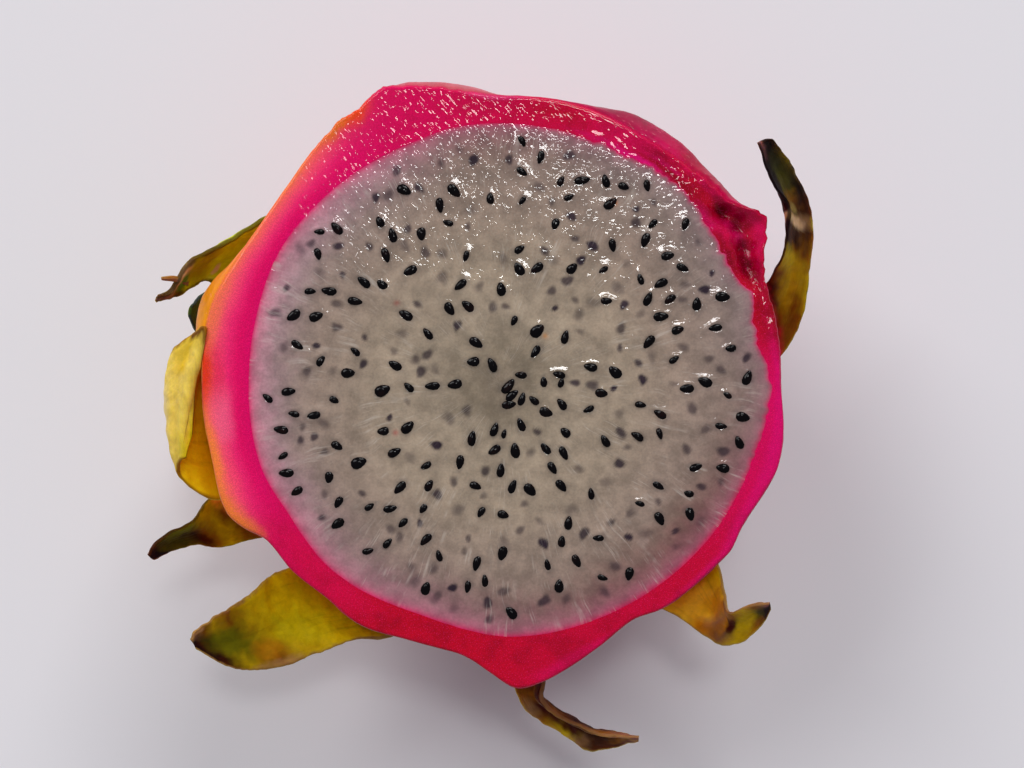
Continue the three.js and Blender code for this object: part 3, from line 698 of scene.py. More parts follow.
# The cut band's warm side, from its inner edge to its outer one.
WARM_CUT_RUN = [
    (0, dye(216, 0, 92)), (0.25, dye(224, 6, 94)), (0.45, dye(236, 36, 106)), (0.65, dye(244, 70, 106)),
    (0.85, dye(248, 98, 92)), (1, dye(240, 120, 50)),
]
# Deeper hollows in the torn band: [direction, radius, half length, strength].
HOLLOWS = [
    [37.4, 43.7, 1.9, 1], [33.6, 44.4, 2.0, 0.8], [29, 43.2, 1.8, 0.9], [25.4, 42.4, 3.2, 1],
    [54, 42.5, 4, 0.3],
]
HOLLOW_DEPTH = 1.2
HOLLOW_WIDTH = 1.3


def hollow_share(deg, r):
    """Where the torn band has deeper hollows, 0 to 1; the band's colour is painted in shade there."""
    most = np.zeros(np.broadcast(deg, r).shape)
    for at, middle, reach, strength in HOLLOWS:
        aside = turn_between(deg, at) * np.pi / 180 * middle / reach
        away = (aside ** 2) * 1.4 + ((r - middle) / HOLLOW_WIDTH) ** 2
        most = np.maximum(most, strength * np.exp(-away))
    return most


def skin_stations():
    """The skin's profile, one (zone, place) for each ring, from the pole underneath to the one inside."""
    quarter = math.pi / 2
    return ([("spot", k / SPOT_RINGS) for k in range(SPOT_RINGS + 1)]
            + [("wall", quarter * k / WALL_RINGS) for k in range(1, WALL_RINGS + 1)]
            + [("band", k / BAND_RINGS) for k in range(BAND_RINGS + 1)]
            + [("bowl", quarter * (1 - k / BOWL_RINGS)) for k in range(1, BOWL_RINGS + 1)])


def spun_tube(rings, sides):
    """A tube of quads round Z with one ring at each whole height, its two ends drawn to poles."""
    bm = bmesh.new()
    line = [bm.verts.new((1, 0, k)) for k in range(rings)]
    edges = [bm.edges.new(pair) for pair in zip(line, line[1:])]
    bmesh.ops.spin(bm, geom=line + edges, axis=(0, 0, 1), cent=(0, 0, 0), angle=math.tau,
                   steps=sides, use_merge=True)
    for k in (0, rings - 1):
        ring = [v for v in bm.verts if abs(v.co.z - k) < 0.5]
        bmesh.ops.pointmerge(bm, verts=ring, merge_co=(0, 0, k))
    return bm


def with_patches(tint, patches, deg, level, wander):
    """The tint with soft-edged patches laid over it."""
    for at, middle, reach, breadth, colour, strength in patches:
        away = np.hypot(turn_between(deg, at) / reach, (level - middle) / breadth)
        tint = mix(tint, colour, smooth((1.45 - away + 0.15 * wander) / 1.2) * strength)
    return tint


def band_tint(deg, across, hollow, dents, mottle, flecks):
    """The cut band's colour, from its inner edge (0) to its outer one (1), darker where it is torn, with
    painted shade in its deeper hollows.
    """
    across = np.clip(across + 0.05 * mottle, 0, 1)
    bright = read_around(BRIGHT_ROUND, deg)
    warm = smooth(np.clip(read_around(WARM_ROUND, deg), 0, 1) * 1.2) * smooth(across * 5)
    tint = mix(mix(CRIMSON, MAGENTA, bright), along_run(WARM_CUT_RUN, across), warm)
    return laid_over(
        with_patches(tint, CUT_PATCHES, deg, across, flecks),
        (GARNET, near_direction(deg, *TORN_STRETCH) * 0.6 * smooth(0.6 + dents)),
        (MAROON, (1 - np.clip(bright, 0, 1)) * 0.5 * smooth(0.35 + 1.1 * mottle + 0.5 * flecks)),
        # Painted shade in the deeper hollows of the torn band.
        (HOLLOW_SHADE_RED, np.clip(hollow * 1.3 + 0.3 * flecks * hollow, 0, 1) * 0.9),
    )


def wall_tint(deg, z, mottle, flecks):
    """The outside's colour: rose, warmer round each foot and turning orange on the warm side."""
    warm = np.clip(read_around(WARM_ROUND, deg), 0, 1)
    feet = near_feet(deg, z, 13, 5, 1.1)
    high = smooth((z - (CUT_HEIGHT - 22)) / 16)
    tint = laid_over(
        ROSE,
        (MAGENTA, smooth(0.5 + 0.5 * mottle) * 0.6),
        (HOT_PINK, smooth((z - 6) / 30) * 0.25),
        (CORAL, feet * 0.35),
        (APRICOT, feet ** 2 * (0.25 + 0.75 * warm)),
        (APRICOT, warm * high * smooth(0.75 + 0.5 * mottle)),
        (AMBER, warm ** 2 * high * smooth(0.45 + 0.8 * mottle) * 0.9),
        (FLECK_BROWN, smooth((flecks - 0.25) / 0.3) * 0.25),
    )
    return with_patches(tint, FLANK_PATCHES, deg, z, flecks)


def lowest_of_faces(mesh, values):
    """The lowest of each face's corners, of one whole number a point."""
    corners = np.zeros(len(mesh.loops), np.int32)
    mesh.loops.foreach_get("vertex_index", corners)
    starts = np.zeros(len(mesh.polygons), np.int32)
    mesh.polygons.foreach_get("loop_start", starts)
    return np.minimum.reduceat(values[corners], starts)


def spot_form(place):
    """Radius and height of the flat spot underneath, grooved round the stem's scar."""
    r = REST_RADIUS * place
    groove_at, groove_width, groove_depth = GROOVE
    scar_at, scar_ease, scar_depth = SCAR_FLOOR
    z = np.exp(-((r - groove_at) / groove_width) ** 2) * groove_depth
    return r, z + smooth((scar_at - r) / scar_ease) * scar_depth


def band_form(deg, inner, across):
    """Radius and height of the cut band, rounded at its outer edge, and where it is hollowed."""
    width = read_around(SKIN_RIM, deg) - inner
    r = inner + width * across
    past_fillet = np.clip(1 - width * (1 - across) / FILLET, 0, 1)
    rounding = np.sqrt(np.clip(1 - past_fillet ** 2, 0, 1)) * FILLET - FILLET
    hollow = hollow_share(deg, r)
    return r, rim_height(deg, across) + rounding - HOLLOW_DEPTH * hollow, hollow


def bowl_form(place, rise, inner):
    """Radius and height of the bowl that holds the flesh."""
    r = np.where(place > 0, (inner - SKIN_GAP) * np.sin(rise) ** FULLNESS + SKIN_GAP, 0)
    return r, plug_height(rise) - SKIN_GAP * np.cos(rise)


def skin_form(picks, deg, place):
    """The skin's bare form: radius, height, share up the wall, share across the band, and its hollows."""
    rise = np.clip(place, 0, math.pi / 2)
    z_wall = (CUT_HEIGHT - FILLET) * (1 - np.cos(rise) ** FULLNESS)
    across = 1 - (1 - np.cos(np.pi * np.clip(place, 0, 1))) / 2
    inner = flesh_edge(deg) - INSIDE_OVERLAP
    r_band, z_band, hollow = band_form(deg, inner, across)
    r_spot, z_spot = spot_form(place)
    r_bowl, z_bowl = bowl_form(place, rise, inner)
    r = np.select(picks, [r_spot, skin_radius(deg, z_wall), r_band, r_bowl])
    z = np.select(picks, [z_spot, z_wall, z_band, z_bowl])
    return r, z, z_wall / (CUT_HEIGHT - FILLET), across, hollow


def skin_relief(picks, deg, r, z, top, across):
    """Radius and height with slow lumps on the wall, an uneven knife cut on the band and a ragged tear."""
    _, on_wall, on_band, _ = picks
    bare = polar(deg, r, z)
    lumps, dents, crumbs = (grain(bare, *bumps) for bumps in (LUMPS, DENTS, CRUMBS))
    torn = near_direction(deg, *TORN_STRETCH)
    nicked = np.clip(0.8 * near_direction(deg, *NICKED_STRETCH) + torn, 0, 1)
    nicks = grain(polar(deg, NICK_RING, 0), *NICKS) * 0.42 * nicked
    wall_lift = (0.35 * lumps + 0.08 * dents) * smooth(top / 0.15) * (1 - smooth((top - 0.94) / 0.06) * 0.6)
    band_lift = 0.04 * lumps + (0.012 + 0.2 * torn) * dents + 0.26 * torn * crumbs
    r = r + np.where(on_wall, wall_lift + nicks * smooth((top - 0.9) / 0.1), 0)
    r = r + np.where(on_band, nicks * across ** 3, 0)
    return r, z + np.where(on_band, band_lift * np.sin(np.pi * across), 0), dents


def skin_tint(picks, deg, r, z, across, hollow, dents):
    """The colour of every point of the skin, zone by zone."""
    shaped = polar(deg, r, z)
    mottle, flecks = grain(shaped, *MOTTLE), grain(shaped, *FLECKS)
    spot = mix(SCAR_TAN, ROSE, smooth((r - 6) / 5))
    wall = wall_tint(deg, z, mottle, flecks)
    band = band_tint(deg, across, hollow, dents, mottle, flecks)
    bowl = np.broadcast_to(LILAC, wall.shape)
    return np.select([pick[:, None] for pick in picks], [spot, wall, band, bowl])


def skin_piece():
    """The skin: one turned shell from the scar underneath, up the wall, over the cut band and down inside."""
    stations = skin_stations()
    mesh = mesh_from("skin", spun_tube(len(stations), SKIN_SIDES))
    laid = points_of(mesh)
    ring = np.rint(laid[:, 2]).astype(int)
    zone = np.array([name for name, _ in stations])[ring]
    place = np.array([at for _, at in stations])[ring]
    deg = np.degrees(np.arctan2(laid[:, 1], laid[:, 0]))
    picks = [zone == name for name in ("spot", "wall", "band", "bowl")]
    bare_r, bare_z, top, across, hollow = skin_form(picks, deg, place)
    r, z, dents = skin_relief(picks, deg, bare_r, bare_z, top, across)
    set_points(mesh, polar(deg, r, z))

    paint(mesh, "tint", skin_tint(picks, deg, r, z, across, hollow, dents))
    measure(mesh, "rippled", 0.004 + 0.016 * near_direction(deg, *TORN_STRETCH))
    streaks = sum(strength * near_direction(deg, at, spread) for at, spread, strength in KNIFE_STREAKS)
    measure(mesh, "streaked", 0.008 + streaks)
    cut = lowest_of_faces(mesh, ring) >= SPOT_RINGS + WALL_RINGS
    mesh.polygons.foreach_set("material_index", cut.astype(np.int32))
    return add_piece("skin", mesh, "peel", "peel", waxy_skin_finish(), cut_skin_finish())


# ---- seeds and flesh ----------------------------------------------------------------------------
def drawn_place(draw, margin):
    """A direction drawn round the flesh, and a place that way which keeps a margin from the edge."""
    deg = 360 * next(draw)
    r = (float(read_around(FLESH_RIM, deg)) - margin) * math.sqrt(next(draw))
    return deg, r * math.cos(math.radians(deg)), r * math.sin(math.radians(deg))


def has_room(x, y, others, spacing):
    return all(math.hypot(other[0] - x, other[1] - y) > spacing for other in others)


def seed_places():
    """Where the seeds stand on the cut face: x, y, pointing direction and length."""
    draw = draw_stream(SEEDS["draw"])
    shortest, longest = SEEDS["long"]

    def length():
        return shortest + (longest - shortest) * next(draw)

    places = [tuple(seed) for seed in MIDDLE_CLUSTER]
    while len(places) < SEEDS["count"]:
        deg, x, y = drawn_place(draw, SEEDS["margin"])
        lie = deg + 180 * (next(draw) - 0.5) * next(draw) + (0 if next(draw) < 0.5 else 180)
        if has_room(x, y, places, SEEDS["spacing"]):
            places.append((x, y, lie, length()))
    return places


def deep_places(shown):
    """Seeds that lie under the cut face and show through it: x, y, direction, length and depth."""
    draw = draw_stream(DEEP_SEEDS["draw"])
    places = []
    while len(places) < DEEP_SEEDS["count"]:
        _, x, y = drawn_place(draw, DEEP_SEEDS["margin"])
        lie = 360 * next(draw)
        long = DEEP_SEEDS["shortest"] + DEEP_SEEDS["extra"] * next(draw)
        depth = next(draw)
        if has_room(x, y, shown + places, DEEP_SEEDS["spacing"]):
            places.append((x, y, lie, long, depth))
    return places


def from_seed(points, x, y, deg, long, slim=SEEDS["slim"]):
    """How far each point is from a seed's outline, as a share: 1 on it, 0 at its middle."""
    turn = math.radians(deg)
    along = (points[:, 0] - x) * math.cos(turn) + (points[:, 1] - y) * math.sin(turn)
    aside = (points[:, 1] - y) * math.cos(turn) - (points[:, 0] - x) * math.sin(turn)
    half = long / 2
    taper = 1 - SEEDS["taper"] * np.clip(along / half, -1, 1)
    return np.hypot(along / half, aside / (half * slim * taper))


# Flesh colours from the middle outwards (mm from the axis), then inwards from the rim (mm from it) where
# the edge is bright and where it is dull.
FLESH_RUN = [
    (0, dye(124, 110, 94)), (5, dye(134, 120, 102)), (11, dye(156, 140, 121)), (20, dye(155, 138, 120)),
    (27, dye(149, 130, 116)), (33, dye(144, 124, 113)),
]
BRIGHT_EDGE_RUN = [
    (0, dye(218, 40, 104)), (0.35, dye(200, 96, 128)), (0.9, dye(192, 122, 140)), (2.0, dye(184, 136, 146)),
    (4, dye(162, 132, 135)), (7, dye(152, 130, 126)), (11, dye(148, 130, 120)),
]
PLAIN_EDGE_RUN = [
    (0, dye(206, 30, 96)), (0.25, dye(164, 84, 104)), (0.7, dye(142, 112, 114)), (2.0, dye(138, 118, 114)),
    (5, dye(138, 120, 112)), (11, dye(144, 128, 116)),
]
DULL_EDGE_RUN = [
    (0, dye(196, 16, 80)), (0.35, dye(172, 60, 92)), (0.9, dye(152, 80, 98)), (2.0, dye(136, 86, 91)),
    (4, dye(122, 85, 81)), (7, dye(126, 98, 88)), (11, dye(134, 114, 101)),
]

FACE_GRID = 290
UNDER_RINGS = 8
SUNKEN_SEED = dye(30, 14, 34)
# Painted shade in a thin ring round each seed that stands in the cut face.
SEED_SHADE_GREY = dye(84, 74, 72)
# Directions in which the flesh's edge is brightest, plainest, and dull again (with its spread).
BRIGHT_SIDE, PLAIN_SIDE, FAR_SIDE = 150, 38, (94, 24)
# Directions in which the cut face is dimpled and streaked most.
DIMPLED_SIDE, STREAKED_SIDE = 50, 115
# The ring of flesh raised round each seed, and the beads of juice, in mm: least, and how much more by chance.
RELIEF_DRAW = 577
RING_RISE = (0.03, 0.075)
BEAD_SIZE = (0.3, 0.25)
BEAD_RISE = (0.05, 0.1)
# Beads of juice: middle x, y, how far they spread and how many.
JUICE = [(1.5, 37.5, 2.4, 30), (14.7, 34.1, 2.4, 30), (16.6, 31.6, 2.4, 30)]

# How each standing seed is shaped by chance: start of the draw, and how far in degrees it tips and rolls.
SEED_SHAPE_DRAW = 1618
SEED_TIP, SEED_ROLL = 14, 24

# Small coloured specks in the flesh: place and colour.
STRAY_SPECKS = [
    ((-16.0, 12.4), dye(150, 40, 40)), ((-16.2, -7.7), dye(160, 50, 50)), ((7.0, 7.3), dye(190, 120, 40)),
    ((17.8, 27.9), dye(210, 110, 20)),
]


def flesh_net():
    """A fine square grid for the cut face, with rings drawn down from its edge to a point underneath."""
    bm = bmesh.new()
    bmesh.ops.create_grid(bm, x_segments=FACE_GRID, y_segments=FACE_GRID, size=1)
    for edge in bm.edges:
        if edge.is_boundary:
            edge.smooth = False
    for _ in range(UNDER_RINGS):
        rim = [edge for edge in bm.edges if edge.is_boundary]
        lower = new_points(bmesh.ops.extrude_edge_only(bm, edges=rim))
        bmesh.ops.translate(bm, verts=lower, vec=(0, 0, -1))
    last = [v for v in bm.verts if v.co.z < 0.5 - UNDER_RINGS]
    bmesh.ops.pointmerge(bm, verts=last, merge_co=(0, 0, -UNDER_RINGS))
    return mesh_from("white_flesh", bm)


def square_to_round(x, y):
    """The direction and share of the way out, in a disc, of each point of a square."""
    wide = np.abs(x) >= np.abs(y)
    safe_x, safe_y = np.where(x == 0, 1, x), np.where(y == 0, 1, y)
    by_side = np.pi / 4 * y / np.where(wide, safe_x, 1) + np.where(x < 0, np.pi, 0)
    by_end = np.pi / 2 - np.pi / 4 * x / np.where(wide, 1, safe_y) + np.where(y < 0, np.pi, 0)
    return np.degrees(np.where(wide, by_side, by_end)), np.maximum(np.abs(x), np.abs(y))


def close_to(points, x, y, reach=3):
    """Which points lie in a small square round a place."""
    return np.where((np.abs(points[:, 0] - x) < reach) & (np.abs(points[:, 1] - y) < reach))[0]


def flesh_relief(shaped, seeds, inward):
    """How far each point of the cut face is raised, and the painted shade in a thin ring round each seed."""
    swell = grain(shaped, 11.0, 1) * 0.11 + grain(shaped, 3.2, 2, 3.0) * 0.045
    mound, seed_shade = np.zeros(len(shaped)), np.zeros(len(shaped))
    draw = draw_stream(RELIEF_DRAW)
    for seed in seeds:
        near = close_to(shaped, *seed[:2])
        away = from_seed(shaped[near], *seed)
        rise = RING_RISE[0] + RING_RISE[1] * next(draw)
        around = np.exp(-(np.maximum(away - 0.95, 0) / 0.8) ** 2) * smooth((away - 0.55) / 0.35)
        mound[near] = np.maximum(mound[near], rise * around)
        seed_shade[near] = np.maximum(seed_shade[near], np.exp(-((away - 0.9) / 0.38) ** 2))
    for x, y, spread, count in JUICE:
        for _ in range(count):
            bead_x = x + spread * (next(draw) + next(draw) - 1)
            bead_y = y + spread * (next(draw) + next(draw) - 1)
            size = BEAD_SIZE[0] + BEAD_SIZE[1] * next(draw)
            high = BEAD_RISE[0] + BEAD_RISE[1] * next(draw)
            away = np.hypot(shaped[:, 0] - bead_x, shaped[:, 1] - bead_y) / size
            mound = np.maximum(mound, high * np.exp(-away ** 2))
    return swell * smooth(inward / 5) + mound * smooth(inward / 0.8), seed_shade


def flesh_tint(shaped, seeds, seed_shade, inward, deg, r, mottle):
    """The flesh's colour: grey-white, pinker at its edge, with sunken seeds and stray specks showing, and
    painted shade round each standing seed.
    """
    fine = grain(shaped, 1.1, 1)
    middle = along_run(FLESH_RUN, r) * (1 + 0.13 * np.clip(mottle, -1, 1))[:, None]
    from_rim = np.clip(inward * (1 + 0.25 * fine) - 0.05, 0, None)
    bright = 0.5 + 0.5 * np.cos(np.radians(deg - BRIGHT_SIDE))
    plain = smooth(np.clip(1.25 - np.abs(turn_between(deg, PLAIN_SIDE)) / 65, 0, 1))
    tint = laid_over(
        along_run(DULL_EDGE_RUN, from_rim),
        (along_run(BRIGHT_EDGE_RUN, from_rim), bright),
        (along_run(PLAIN_EDGE_RUN, from_rim), plain),
        (along_run(DULL_EDGE_RUN, from_rim * 1.6), 0.7 * near_direction(deg, *FAR_SIDE)),
        (middle, smooth((inward - 2.5 + 1.5 * mottle) / 10)),
    )
    for x, y, lie, long, depth in deep_places(seeds):
        near = close_to(shaped, x, y)
        away = from_seed(shaped[near], x, y, lie, long * 0.95, 0.7)
        soft = 1.2 + 0.5 * depth + 0.35 * fine[near] - away
        shade = smooth(soft / (0.6 + 0.9 * depth)) * (0.97 - 0.55 * depth)
        tint[near] = mix(tint[near], SUNKEN_SEED, shade)
    # Painted shade round each standing seed.
    tint = mix(tint, SEED_SHADE_GREY, seed_shade * 0.35)
    for (x, y), colour in STRAY_SPECKS:
        tint = mix(tint, colour, spots(shaped, [(x, y)], 0.42) * 0.6)
    return tint


def flesh_piece(seeds):
    """The flesh: a fine disc with raised rings round its seeds, over a rounded plug."""
    mesh = flesh_net()
    laid = points_of(mesh)
    deg, share = square_to_round(laid[:, 0], laid[:, 1])
    rim = flesh_edge(deg)
    ring = -np.rint(laid[:, 2])
    rise = np.pi / 2 * (1 - ring / UNDER_RINGS)
    on_top = ring == 0
    r = np.where(on_top, share * rim, np.sin(rise) ** FULLNESS * (rim - 0.1))
    z = np.where(on_top, CUT_HEIGHT, plug_height(rise))
    shaped = polar(deg, r, z)
    inward = np.where(on_top, rim - r, 0)
    lift, seed_shade = flesh_relief(shaped, seeds, inward)
    shaped[:, 2] += np.where(on_top, lift, 0)
    set_points(mesh, shaped)

    mottle = grain(shaped, 6.0, 2, 7.0)
    paint(mesh, "tint", flesh_tint(shaped, seeds, seed_shade, inward, deg, r, mottle))
    ways = (DIMPLED_SIDE, STREAKED_SIDE)
    dimpled_way, streaked_way = (np.cos(np.radians(deg - at)) * r / rim for at in ways)
    drops = np.max([spots(shaped, [(x, y)], spread * 0.6) for x, y, spread, _ in JUICE], axis=0)
    dimpled = 0.026 * smooth((dimpled_way + 0.15 * mottle) / 0.8)
    measure(mesh, "rippled", 0.018 + dimpled + 0.05 * drops)
    measure(mesh, "streaked", 0.056 * smooth((streaked_way + 0.1 * mottle - 0.2) / 0.6))
    return add_piece("white_flesh", mesh, "flesh", "flesh", flesh_finish())


def seeds_piece(seeds):
    """Every seed that stands in the cut face: flat drops, each tipped a little its own way."""
    draw = draw_stream(SEED_SHAPE_DRAW)
    bm = bmesh.new()
    for x, y, deg, long in seeds:
        made = bmesh.ops.create_uvsphere(bm, u_segments=10, v_segments=6, radius=1)["verts"]
        bmesh.ops.rotate(bm, verts=made, cent=(0, 0, 0), matrix=Matrix.Rotation(math.pi / 2, 3, "Y"))
        fat = 0.86 + 0.36 * next(draw) ** 2
        hook = 0.22 * (next(draw) - 0.5)
        for v in made:
            taper = 1 - SEEDS["taper"] * v.co.x
            aside = v.co.y * long / 2 * SEEDS["slim"] * taper * fat + hook * v.co.x ** 2
            v.co = (v.co.x * long / 2, aside, v.co.z * SEEDS["proud"] * (0.8 + 0.2 * taper))
        tip = Matrix.Rotation(math.radians(SEED_TIP * (next(draw) - 0.5)), 3, "Y")
        roll = Matrix.Rotation(math.radians(SEED_ROLL * (next(draw) - 0.5)), 3, "X")
        spin = Matrix.Rotation(math.radians(deg), 3, "Z")
        bmesh.ops.transform(bm, verts=made, matrix=(spin @ tip @ roll).to_4x4())
        bmesh.ops.translate(bm, verts=made, vec=(x, y, CUT_HEIGHT - 0.12 * next(draw)))
    bmesh.ops.scale(bm, verts=bm.verts, vec=(MM, MM, MM))
    return add_piece("seeds", mesh_from("seeds", bm), "seed", "flesh", seed_finish())


# ---- bracts -------------------------------------------------------------------------------------
NUDGE = 1e-3  # how far along or across a blade its slope is felt
THIN_EDGE = 0.22  # half the least thickness of a blade


def curve_through(points, share):
    """A smooth curve through points (centripetal), read at shares 0 to 1 of its length in steps."""
    points = np.array(points)
    ends = np.concatenate([[2 * points[0] - points[1]], points, [2 * points[-1] - points[-2]]])
    at = np.clip(share, 0, 1) * (len(points) - 1)
    k = np.minimum(at.astype(int), len(points) - 2)
    t = (at - k)[:, None]
    before, here, after, beyond = (ends[k + j] for j in range(4))
    steps = (here - before, after - here, beyond - after)
    g0, g1, g2 = (np.maximum(np.sqrt(np.linalg.norm(step, axis=1))[:, None], 1e-3) for step in steps)
    slope_in = ((here - before) / g0 - (after - before) / (g0 + g1) + (after - here) / g1) * g1
    slope_out = ((after - here) / g1 - (beyond - here) / (g1 + g2) + (beyond - after) / g2) * g1
    c2 = -3 * here + 3 * after - 2 * slope_in - slope_out
    c3 = 2 * here - 2 * after + slope_in + slope_out
    return here + slope_in * t + c2 * t ** 2 + c3 * t ** 3


def rooted(rows):
    """The rows with one more before the foot, sunk in the skin."""
    root = [[deg, min(r, float(skin_radius(deg, z))) - BRACT_ROOT, z - BRACT_ROOT] for deg, r, z in rows[0]]
    return [root, *rows]


def blade_sheet(rows, along, across):
    """The blade's middle surface at (along, across) shares, each point by itself."""
    left, right = (curve_through([polar(*row[side]) for row in rows], along) for side in (0, 1))
    left_deg, right_deg = (np.degrees(np.arctan2(e[:, 1], e[:, 0])) for e in (left, right))
    deg = left_deg + turn_between(right_deg, left_deg) * across
    r = np.hypot(left[:, 0], left[:, 1]) * (1 - across) + np.hypot(right[:, 0], right[:, 1]) * across
    z = left[:, 2] * (1 - across) + right[:, 2] * across
    return polar(deg, r, z), np.linalg.norm(left - right, axis=1)


def unit(vectors):
    return vectors / np.maximum(np.linalg.norm(vectors, axis=1), 1e-9)[:, None]


def blade_net(name, along_steps, across_steps):
    """A flat sheet drawn up to double: x and y run 0 to 1 along and across, z is 0 or 1 by face."""
    bm = bmesh.new()
    bmesh.ops.create_grid(bm, x_segments=along_steps, y_segments=across_steps, size=0.5)
    bmesh.ops.translate(bm, verts=bm.verts, vec=(0.5, 0.5, 0))
    upper = new_points(bmesh.ops.extrude_face_region(bm, geom=list(bm.faces)))
    bmesh.ops.translate(bm, verts=upper, vec=(0, 0, 1))
    return mesh_from(name, bm)


def blade_mesh(name, rows, cup, thick, fineness=(110, 36), waves=(0.0, 3), ragged=0.0, fold=0.0):
    """A closed blade: both faces of a doubled sheet are laid along the bract, troughed, waved and frayed."""
    mesh = blade_net(name, *fineness)
    laid = points_of(mesh)
    along, across, side = laid[:, 0], laid[:, 1], laid[:, 2] * 2 - 1

    def sheet(u, v):
        return blade_sheet(rows, np.clip(u, 0, 1), np.clip(v, 0, 1))

    middle, width = sheet(along, across)
    ahead = sheet(along + NUDGE, across)[0] - sheet(along - NUDGE, across)[0]
    aside = sheet(along, across + NUDGE)[0] - sheet(along, across - NUDGE)[0]
    facing = unit(np.cross(ahead, aside))
    v = 2 * across - 1
    room = smooth(width / 10)
    trough = -cup * ((1 - v * v) * (1 - fold) + (1 - np.abs(v)) * 1.3 * fold) * room
    height, count = waves
    swing = np.sin(along * count * np.pi * 2 + np.where(v > 0, 0, 1.7))
    ripple = height * np.abs(v) ** 3 * swing * room * smooth(along * 4)
    full = thick[0] + (thick[1] - thick[0]) * np.sqrt(along)
    thinned = np.sqrt(np.clip(1 - 0.86 * v ** 4, 0, 1)) * (1 - 0.35 * smooth((along - 0.85) / 0.15))
    half = np.maximum(THIN_EDGE, full / 2 * thinned)
    crease = grain(middle, 2.6, 2, len(name)) * 0.22 * smooth(along * 3)
    shaped = middle + facing * (trough + ripple + crease + side * half)[:, None]
    if ragged:
        frayed = 0.6 * grain(middle, 3.2, 2, 5.0) + 0.4 * grain(middle, 0.9, 1, 2.0)
        frayed = frayed * ragged * smooth((np.abs(v) - 0.75) / 0.25) * smooth(along * 5 - 1)
        shaped += unit(aside) * (frayed * np.sign(v))[:, None]
    set_points(mesh, shaped)
    return mesh, along, v, width, shaped


# Leaf colours
GREEN_OLIVE = dye(160, 165, 8)
DIM_OLIVE = dye(152, 156, 8)
WARM_OLIVE = dye(196, 160, 10)
DEEP_OLIVE = dye(60, 58, 8)
PEAR = dye(188, 178, 10)
PALE_SAGE = dye(128, 136, 40)
SAGE = dye(104, 118, 26)
DIM_SAGE = dye(100, 112, 28)
PINE = dye(60, 76, 30)
DEEP_PINE = dye(54, 70, 28)
GREY_PINE = dye(54, 68, 32)
SLATE = dye(40, 48, 56)
SOOT = dye(26, 18, 24)
BARK = dye(60, 40, 10)
CHESTNUT = dye(100, 62, 8)
BRASS = dye(200, 172, 50)
KHAKI = dye(160, 136, 70)
BLUSH = dye(226, 58, 84)
WARM_BLUSH = dye(230, 70, 80)
OLIVE_GOLD = dye(206, 182, 8)
SKIN_ROSE = dye(206, 12, 88)
FOOT_RED = dye(206, 44, 62)
LEAF_GREEN = dye(190, 196, 12)
DULL_OLIVE = dye(150, 138, 8)
MOSS_GREEN = dye(84, 120, 34)
OLIVE = dye(184, 156, 8)
MOSS = dye(116, 112, 8)
DARK_OLIVE = dye(74, 64, 8)
UMBER = dye(134, 98, 64)
BROWN = dye(132, 80, 8)
RUSSET = dye(196, 132, 12)
DARK_BROWN = dye(58, 24, 6)
OXBLOOD = dye(66, 6, 2)
BLACKISH = dye(26, 7, 12)
NEAR_BLACK = dye(20, 6, 4)
CREAM = dye(208, 172, 130)
TAN = dye(184, 144, 94)
ORANGE = dye(255, 176, 22)
BRIGHT_ORANGE = dye(255, 196, 12)
STRAW = dye(236, 200, 92)
STRAW_GOLD = dye(244, 202, 52)
PALE_STRAW = dye(234, 208, 150)
GOLD = dye(226, 180, 24)
PLUM = dye(122, 72, 74)

